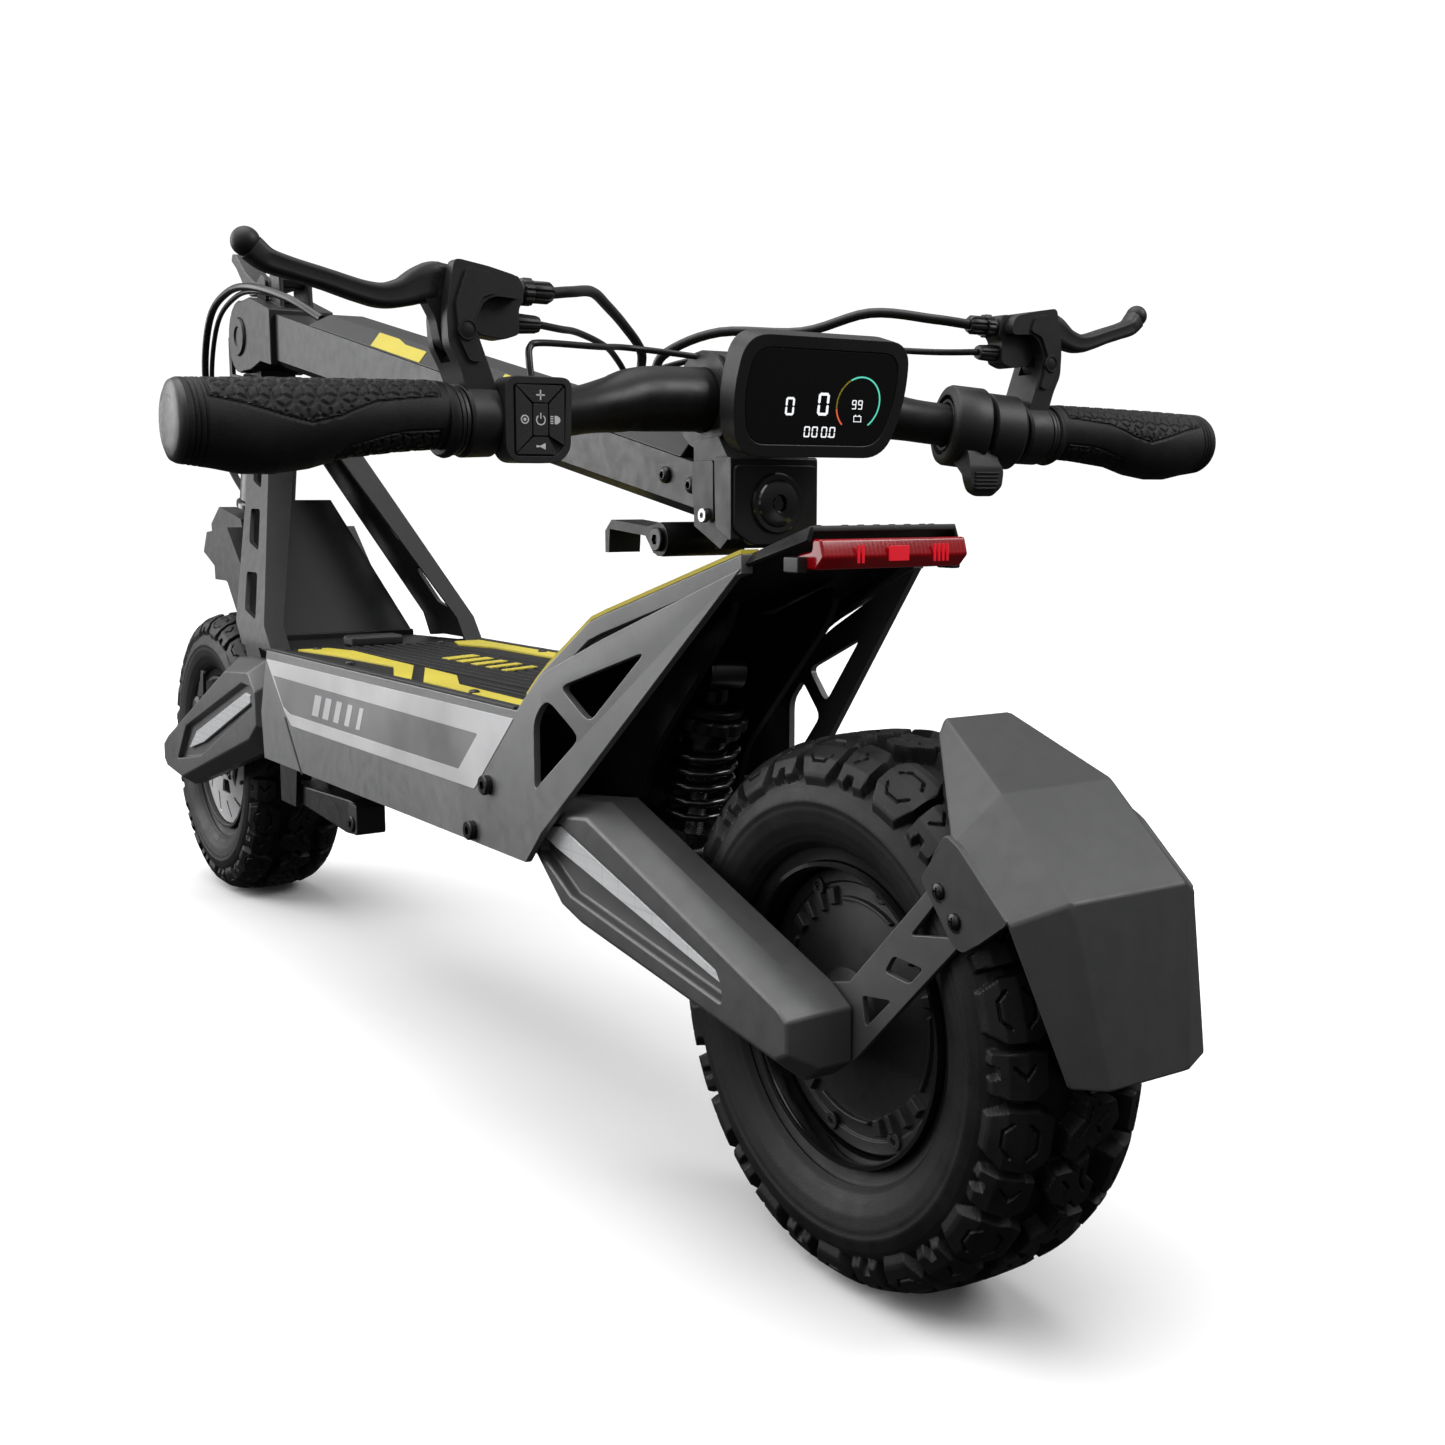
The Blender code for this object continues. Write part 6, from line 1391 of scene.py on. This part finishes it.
knob = turned([(0, 0), (0, 0.0085), (0.0020, 0.0098), (0.0070, 0.0098), (0.0085, 0.0080), (0.0085, 0.0045), (0.0100, 0.0040), (0.0100, 0)], (0.0555, -0.8850, 0.1750), X, 48)
arm_lever = prism(rounded([(-0.8950, 0.1720), (-0.8880, 0.1660), (-0.8790, 0.1790), (-0.8760, 0.2060), (-0.8830, 0.2080), (-0.8900, 0.1840)], 0.0022, 3), 0.0560, 0.0590)
add("caliper_knob", fluted(knob, (0, -0.8850, 0.1750), 14, 0.0006) if False else knob, "dark", "front_arm", smooth=40)
add("caliper_lever", arm_lever, "dark", "front_arm", bevel=0.0006)
# ---------------------------------------------------------------- kickstand
add("stand_bolt", join([screw((0.0690, -0.6180, 0.1390), (1, 0, 0), 0.0072, 0.0045, "hex", "cap")]), "silver", "kickstand")
add("stand_tip_bolt", join([screw((0.0690, -0.4980, 0.1360), (1, 0, 0), 0.0056, 0.0030, "hex", "cap")]), "darksteel", "kickstand")
foot = prism(rounded([(-0.5060, 0.1290), (-0.4890, 0.1290), (-0.4890, 0.1500), (-0.5040, 0.1505)], 0.003, 3), 0.0495, 0.0705)
add("stand_foot", foot, "plastic", "kickstand", bevel=0.0012, seg=3)
# ---------------------------------------------------------------- stem cover, decals, bolts
SLOPE = Vector((0, 1, -0.190)).normalized()
for s, tag in ((1, "left"), (-1, "right")):
    f = (lambda m: m) if s > 0 else mirror
    sheath = []
    for y0, y1, y2, y3 in ((-0.5600, -0.5250, -0.5110, -0.4760), (-0.3620, -0.3520, -0.3420, -0.3220)):
        rows = []
        for y, t0, t1 in ((y0, 0.10, 0.92), (y1, 0.10, 0.92), (y2, 0.10, 0.74), (y3, 0.10, 0.74)):
            base = 0.5026 - 0.204 * (y + 0.747)
            rows.append([Vector((0.0225 - 0.009 * t + d, y, base + 0.0115 * t + d * 0.8)) for t, d in ((t0, -0.0006), (t1, -0.0006), (t1, 0.0005), (t0, 0.0005))])
        me = loft(rows)
        bm = to_bm(me)
        bmesh.ops.recalc_face_normals(bm, faces=bm.faces)
        sheath.append(from_bm(bm, "decal"))
    add(f"stem_decals_{tag}", f(join(sheath)), "yellow", "stem")
    b = [screw((0.0225, y, z), (1, 0, 0), 0.0044, 0.0030, "hex", "button") for y, z in ((-0.1614, 0.3718), (-0.1362, 0.3665))]
    add(f"stem_bolts_{tag}", f(join(b)), "darksteel", "stem")
gro = pipe([Vector((0.0060, -0.3500, 0.4226 + 0.0150)), Vector((0.0060, -0.3300, 0.4185 + 0.0180))], 0.0042, 20)
# ---------------------------------------------------------------- stem head
c1 = prism(rounded([(-0.1320, 0.3785), (-0.1126, 0.3785), (-0.1126, 0.3485), (-0.1275, 0.3530), (-0.1320, 0.3600)], 0.002, 3), -0.0256, 0.0256)
c2 = prism(rounded([(-0.1110, 0.3800), (-0.0960, 0.3800), (-0.0960, 0.3390), (-0.1100, 0.3450)], 0.002, 3), -0.0262, 0.0262)
add("stem_collar_outer", c1, "char", "stem", bevel=0.0014, seg=3)
add("stem_collar_inner", c2, "dark", "stem", bevel=0.0014, seg=3)
face = prism(rounded([(0.0250, 0.3760), (-0.0250, 0.3760), (-0.0250, 0.3440), (-0.0140, 0.3370), (0.0140, 0.3370), (0.0250, 0.3440)], 0.003, 3), -0.0990, -0.0945, "Y")
add("stem_end_plate", face, "dark", "stem", bevel=0.0010, seg=3)
cap = turned([(0.0, 0), (0.0, 0.0148), (0.0010, 0.0150), (0.0016, 0.0142), (0.0014, 0.0118), (0.0024, 0.0112), (0.0030, 0.0086), (0.0032, 0.0044), (0.0010, 0.0038), (0.0010, 0)], (0.0000, -0.0946, 0.3574), Y, 64)
add("stem_end_cap", cap, "gloss", "stem", smooth=28)
add("stem_end_socket", rod((0, -0.0935, 0.3574), Y, 0.0030, 0.0012, 6), "darksteel", "stem")
add("collar_bolts", join([screw((s * 0.0262, -0.1183, 0.3515), (s, 0, 0), 0.0036, 0.0026, "hex", "cap") for s in (1, -1)]), "steel", "stem")
jaw = [(-0.1440, 0.4080), (-0.1400, 0.4240), (-0.1330, 0.4290), (-0.1180, 0.4310), (-0.1050, 0.4280), (-0.1010, 0.4150), (-0.1040, 0.4000), (-0.1130, 0.3880), (-0.1250, 0.3790), (-0.1330, 0.3820), (-0.1420, 0.3900)]
clampm = prism(rounded(jaw, 0.003, 3), -0.0215, 0.0215)
clampm = boolean(clampm, [block(-0.03, 0.03, -0.1460, -0.0990, 0.4073, 0.4087)])
add("bar_clamp", clampm, "char", "stem", bevel=0.0014, seg=3)
add("bar_clamp_bolts", join([screw((x, -0.1030, 0.4265), Vector((0, 0.35, 1)).normalized(), 0.0036, 0.0030, "hex", "cap") for x in (0.0150, -0.0150)]
                            + [screw((x, -0.1400, 0.4225), Vector((0, -0.5, 1)).normalized(), 0.0036, 0.0030, "hex", "cap") for x in (0.0150, -0.0150)]), "darksteel", "stem")
add("hook_bolt", join([screw((s * 0.0252, -0.1640, 0.3385), (s, 0, 0), 0.0062, 0.0032, "hex", "cap") for s in (1,)]), "darksteel", "hook")
add("hook_barrel", rod((0.0, -0.1640, 0.3385), X, 0.0090, 0.0490, 36, 0.0012), "dark", "hook", smooth=40)
# ---------------------------------------------------------------- fold joint
sock = turned([(0, 0), (0, 0.0150), (0.0014, 0.0162), (0.0030, 0.0150), (0.0030, 0.0085), (0.0016, 0.0075), (0.0016, 0)], (0.0262, FOLD_P.y, FOLD_P.z), X, 56)
add("fold_boss_left", sock, "char", "stem", smooth=30)
add("fold_boss_right", mirror(turned([(0, 0), (0, 0.0150), (0.0014, 0.0162), (0.0030, 0.0150), (0.0030, 0.0085), (0.0016, 0.0075), (0.0016, 0)], (0.0262, FOLD_P.y, FOLD_P.z), X, 56)), "char", "stem", smooth=30)
ears = join([prism(rounded([(-0.8180, 0.5180), (-0.8180, 0.5360), (-0.8060, 0.5420), (-0.7960, 0.5360), (-0.7960, 0.5180)], 0.003, 3), x, x + 0.0035) for x in (-0.0175, 0.0140)])
add("latch_ears", ears, "char", "stem", bevel=0.0006)
# ---------------------------------------------------------------- shock
top = Vector((0, -0.147, 0.270))
low = Vector((0, -0.1765, 0.166))
sa = (low - top).normalized()
ringp = turned([(0, 0.0128), (0, 0.0196), (0.0010, 0.0204), (0.0060, 0.0204), (0.0070, 0.0196), (0.0070, 0.0128)], top + sa * 0.0235, sa, 72, closed=True)
for v in ringp.vertices:
    d = v.co - top - sa * (v.co - top).dot(sa)
    if d.length > 0.0190:
        a = math.atan2(d.x, d.dot(Y))
        v.co -= d.normalized() * 0.0014 * (0.5 + 0.5 * math.cos(12 * a)) ** 4
add("preload_ring", ringp, "dark", "shock_upper", smooth=30)
add("preload_lock", turned([(0, 0.0128), (0, 0.0165), (0.0008, 0.0172), (0.0036, 0.0172), (0.0044, 0.0165), (0.0044, 0.0128)], top + sa * 0.0182, sa, 64, closed=True), "dark", "shock_upper", smooth=30)
eye = turned([(-0.0100, 0.0048), (-0.0100, 0.0105), (-0.0088, 0.0116), (0.0088, 0.0116), (0.0100, 0.0105), (0.0100, 0.0048)], top, X, 48, closed=True)
add("shock_eye", eye, "gloss", "shock_upper", smooth=30)

# ---------------------------------------------------------------- closing strips
for s, tag in ((1, "left"), (-1, "right")):
    secs = []
    for k in range(19):
        y = -0.2150 + (0.1690) * k / 18
        z = float(np.interp(y, [p[0] for p in KT], [p[1] for p in KT]))
        x = toe_x(y)
        secs.append([Vector((s * (x - 0.0020), y, z - 0.0100)), Vector((s * (x + 0.0044), y, z - 0.0100)), Vector((s * (x + 0.0044), y, z - 0.0012)), Vector((s * (x - 0.0020), y, z - 0.0012))])
    me = loft(secs)
    bm = to_bm(me)
    bmesh.ops.recalc_face_normals(bm, faces=bm.faces)
    add(f"kick_seal_{tag}", from_bm(bm, "seal"), "plate", "frame", bevel=0.0004)
floor_plate = prism(rounded([(-0.0620, -0.6990), (0.0620, -0.6990), (0.0770, -0.6330), (-0.0770, -0.6330)], 0.003, 3), 0.2400, 0.2470, "Z")
add("neck_floor", floor_plate, "dark", "frame", bevel=0.0008)
skirt = block(-0.0630, 0.0630, -0.7015, -0.6960, 0.2400, 0.2515)
add("neck_skirt", skirt, "dark", "frame", bevel=0.0008)


# ---------------------------------------------------------------- camera, light, floor
def camera():
    cam = bpy.data.cameras.new("camera")
    cam.sensor_width = 36
    cam.lens = 41.06
    cam.clip_start = 0.01
    o = bpy.data.objects.new("camera", cam)
    fwd = Vector((-0.5492, -0.8241, -0.1383)).normalized()
    right = fwd.cross(Z).normalized()
    up = right.cross(fwd).normalized()
    rot = Matrix((right, up, -fwd)).transposed().to_4x4()
    o.matrix_world = Matrix.Translation((0.4771, 0.5733 + DY, 0.3628)) @ rot
    bpy.context.scene.collection.objects.link(o)
    bpy.context.scene.camera = o


camera()


def area(name, p, target, size, power, size_y=None, colour=(1, 1, 1)):
    li = bpy.data.lights.new(name, "AREA")
    li.energy = power
    li.color = colour
    li.shape = "RECTANGLE"
    li.size = size
    li.size_y = size_y or size
    o = bpy.data.objects.new(name, li)
    p = Vector(p)
    o.matrix_world = Matrix.Translation(p) @ (Vector(target) - p).to_track_quat("-Z", "Y").to_matrix().to_4x4()
    bpy.context.scene.collection.objects.link(o)


def floor():
    bm = bmesh.new()
    n = 48
    rows = []
    for j in range(2):
        rows.append([bm.verts.new(((-9 if j == 0 else 9), -9 + 18 * k / n, 0)) for k in range(n + 1)])
    for k in range(n):
        bm.faces.new((rows[0][k], rows[1][k], rows[1][k + 1], rows[0][k + 1]))
    me = from_bm(bm, "floor")
    g = Graph("floor_white")
    tone = g.mix(g.noise(3, 3), (0.90, 0.90, 0.90), (0.93, 0.93, 0.93))
    me.materials.append(g.out(Base_Color=tone, Roughness=0.75, Specular_IOR_Level=0.1))
    o = bpy.data.objects.new("floor", me)
    o.location = (0, 0, -0.0006)
    bpy.context.scene.collection.objects.link(o)
    o.visible_diffuse = o.visible_glossy = False


floor()
world = bpy.data.worlds.new("studio")
bpy.context.scene.world = world
world.use_nodes = True
wt = world.node_tree
sky = wt.nodes["Background"]
sky.inputs[1].default_value = 1.0
wc = wt.nodes.new("ShaderNodeTexCoord")
ws = wt.nodes.new("ShaderNodeSeparateXYZ")
wt.links.new(wc.outputs["Generated"], ws.inputs[0])
ramp = wt.nodes.new("ShaderNodeValToRGB")
wm = wt.nodes.new("ShaderNodeMath")
wm.operation = "MULTIPLY_ADD"
wm.inputs[1].default_value = 0.5
wm.inputs[2].default_value = 0.5
wt.links.new(ws.outputs[2], wm.inputs[0])
wt.links.new(wm.outputs[0], ramp.inputs[0])
el = ramp.color_ramp.elements
el[0].position, el[0].color = 0.30, (0.035, 0.035, 0.035, 1)
el[1].position, el[1].color = 1.0, (0.62, 0.62, 0.62, 1)
for at, v in ((0.49, 0.10), (0.60, 0.22), (0.80, 0.34)):
    e = el.new(at)
    e.color = (v, v, v, 1)
wt.links.new(ramp.outputs[0], sky.inputs[0])
bright = wt.nodes.new("ShaderNodeBackground")
bright.inputs[0].default_value = (1, 1, 1, 1)
bright.inputs[1].default_value = 1.05
seen = wt.nodes.new("ShaderNodeLightPath")
mixer = wt.nodes.new("ShaderNodeMixShader")
wt.links.new(seen.outputs["Is Camera Ray"], mixer.inputs[0])
wt.links.new(sky.outputs[0], mixer.inputs[1])
wt.links.new(bright.outputs[0], mixer.inputs[2])
wt.links.new(mixer.outputs[0], wt.nodes["World Output"].inputs[0])
bpy.context.scene.view_settings.view_transform = "Standard"
bpy.context.scene.view_settings.look = "None"
sun = bpy.data.lights.new("soft_overhead", "SUN")
sun.energy = 2.9
sun.angle = math.radians(75)
so = bpy.data.objects.new("soft_overhead", sun)
so.matrix_world = Matrix.Translation((0, 0, 4)) @ Vector((-0.25, 0.12, -1)).to_track_quat("-Z", "Y").to_matrix().to_4x4()
bpy.context.scene.collection.objects.link(so)
area("left_soft", (2.5, 0.5, 1.1), (0, -0.05, 0.25), 1.8, 9)
area("front_left", (3.0, -3.5, 1.5), (0.1, 0.0, 0.22), 3.3, 150)
area("rear_strip", (-1.5, 1.7, 1.9), (-0.05, 0.5, 0.25), 1.0, 26)
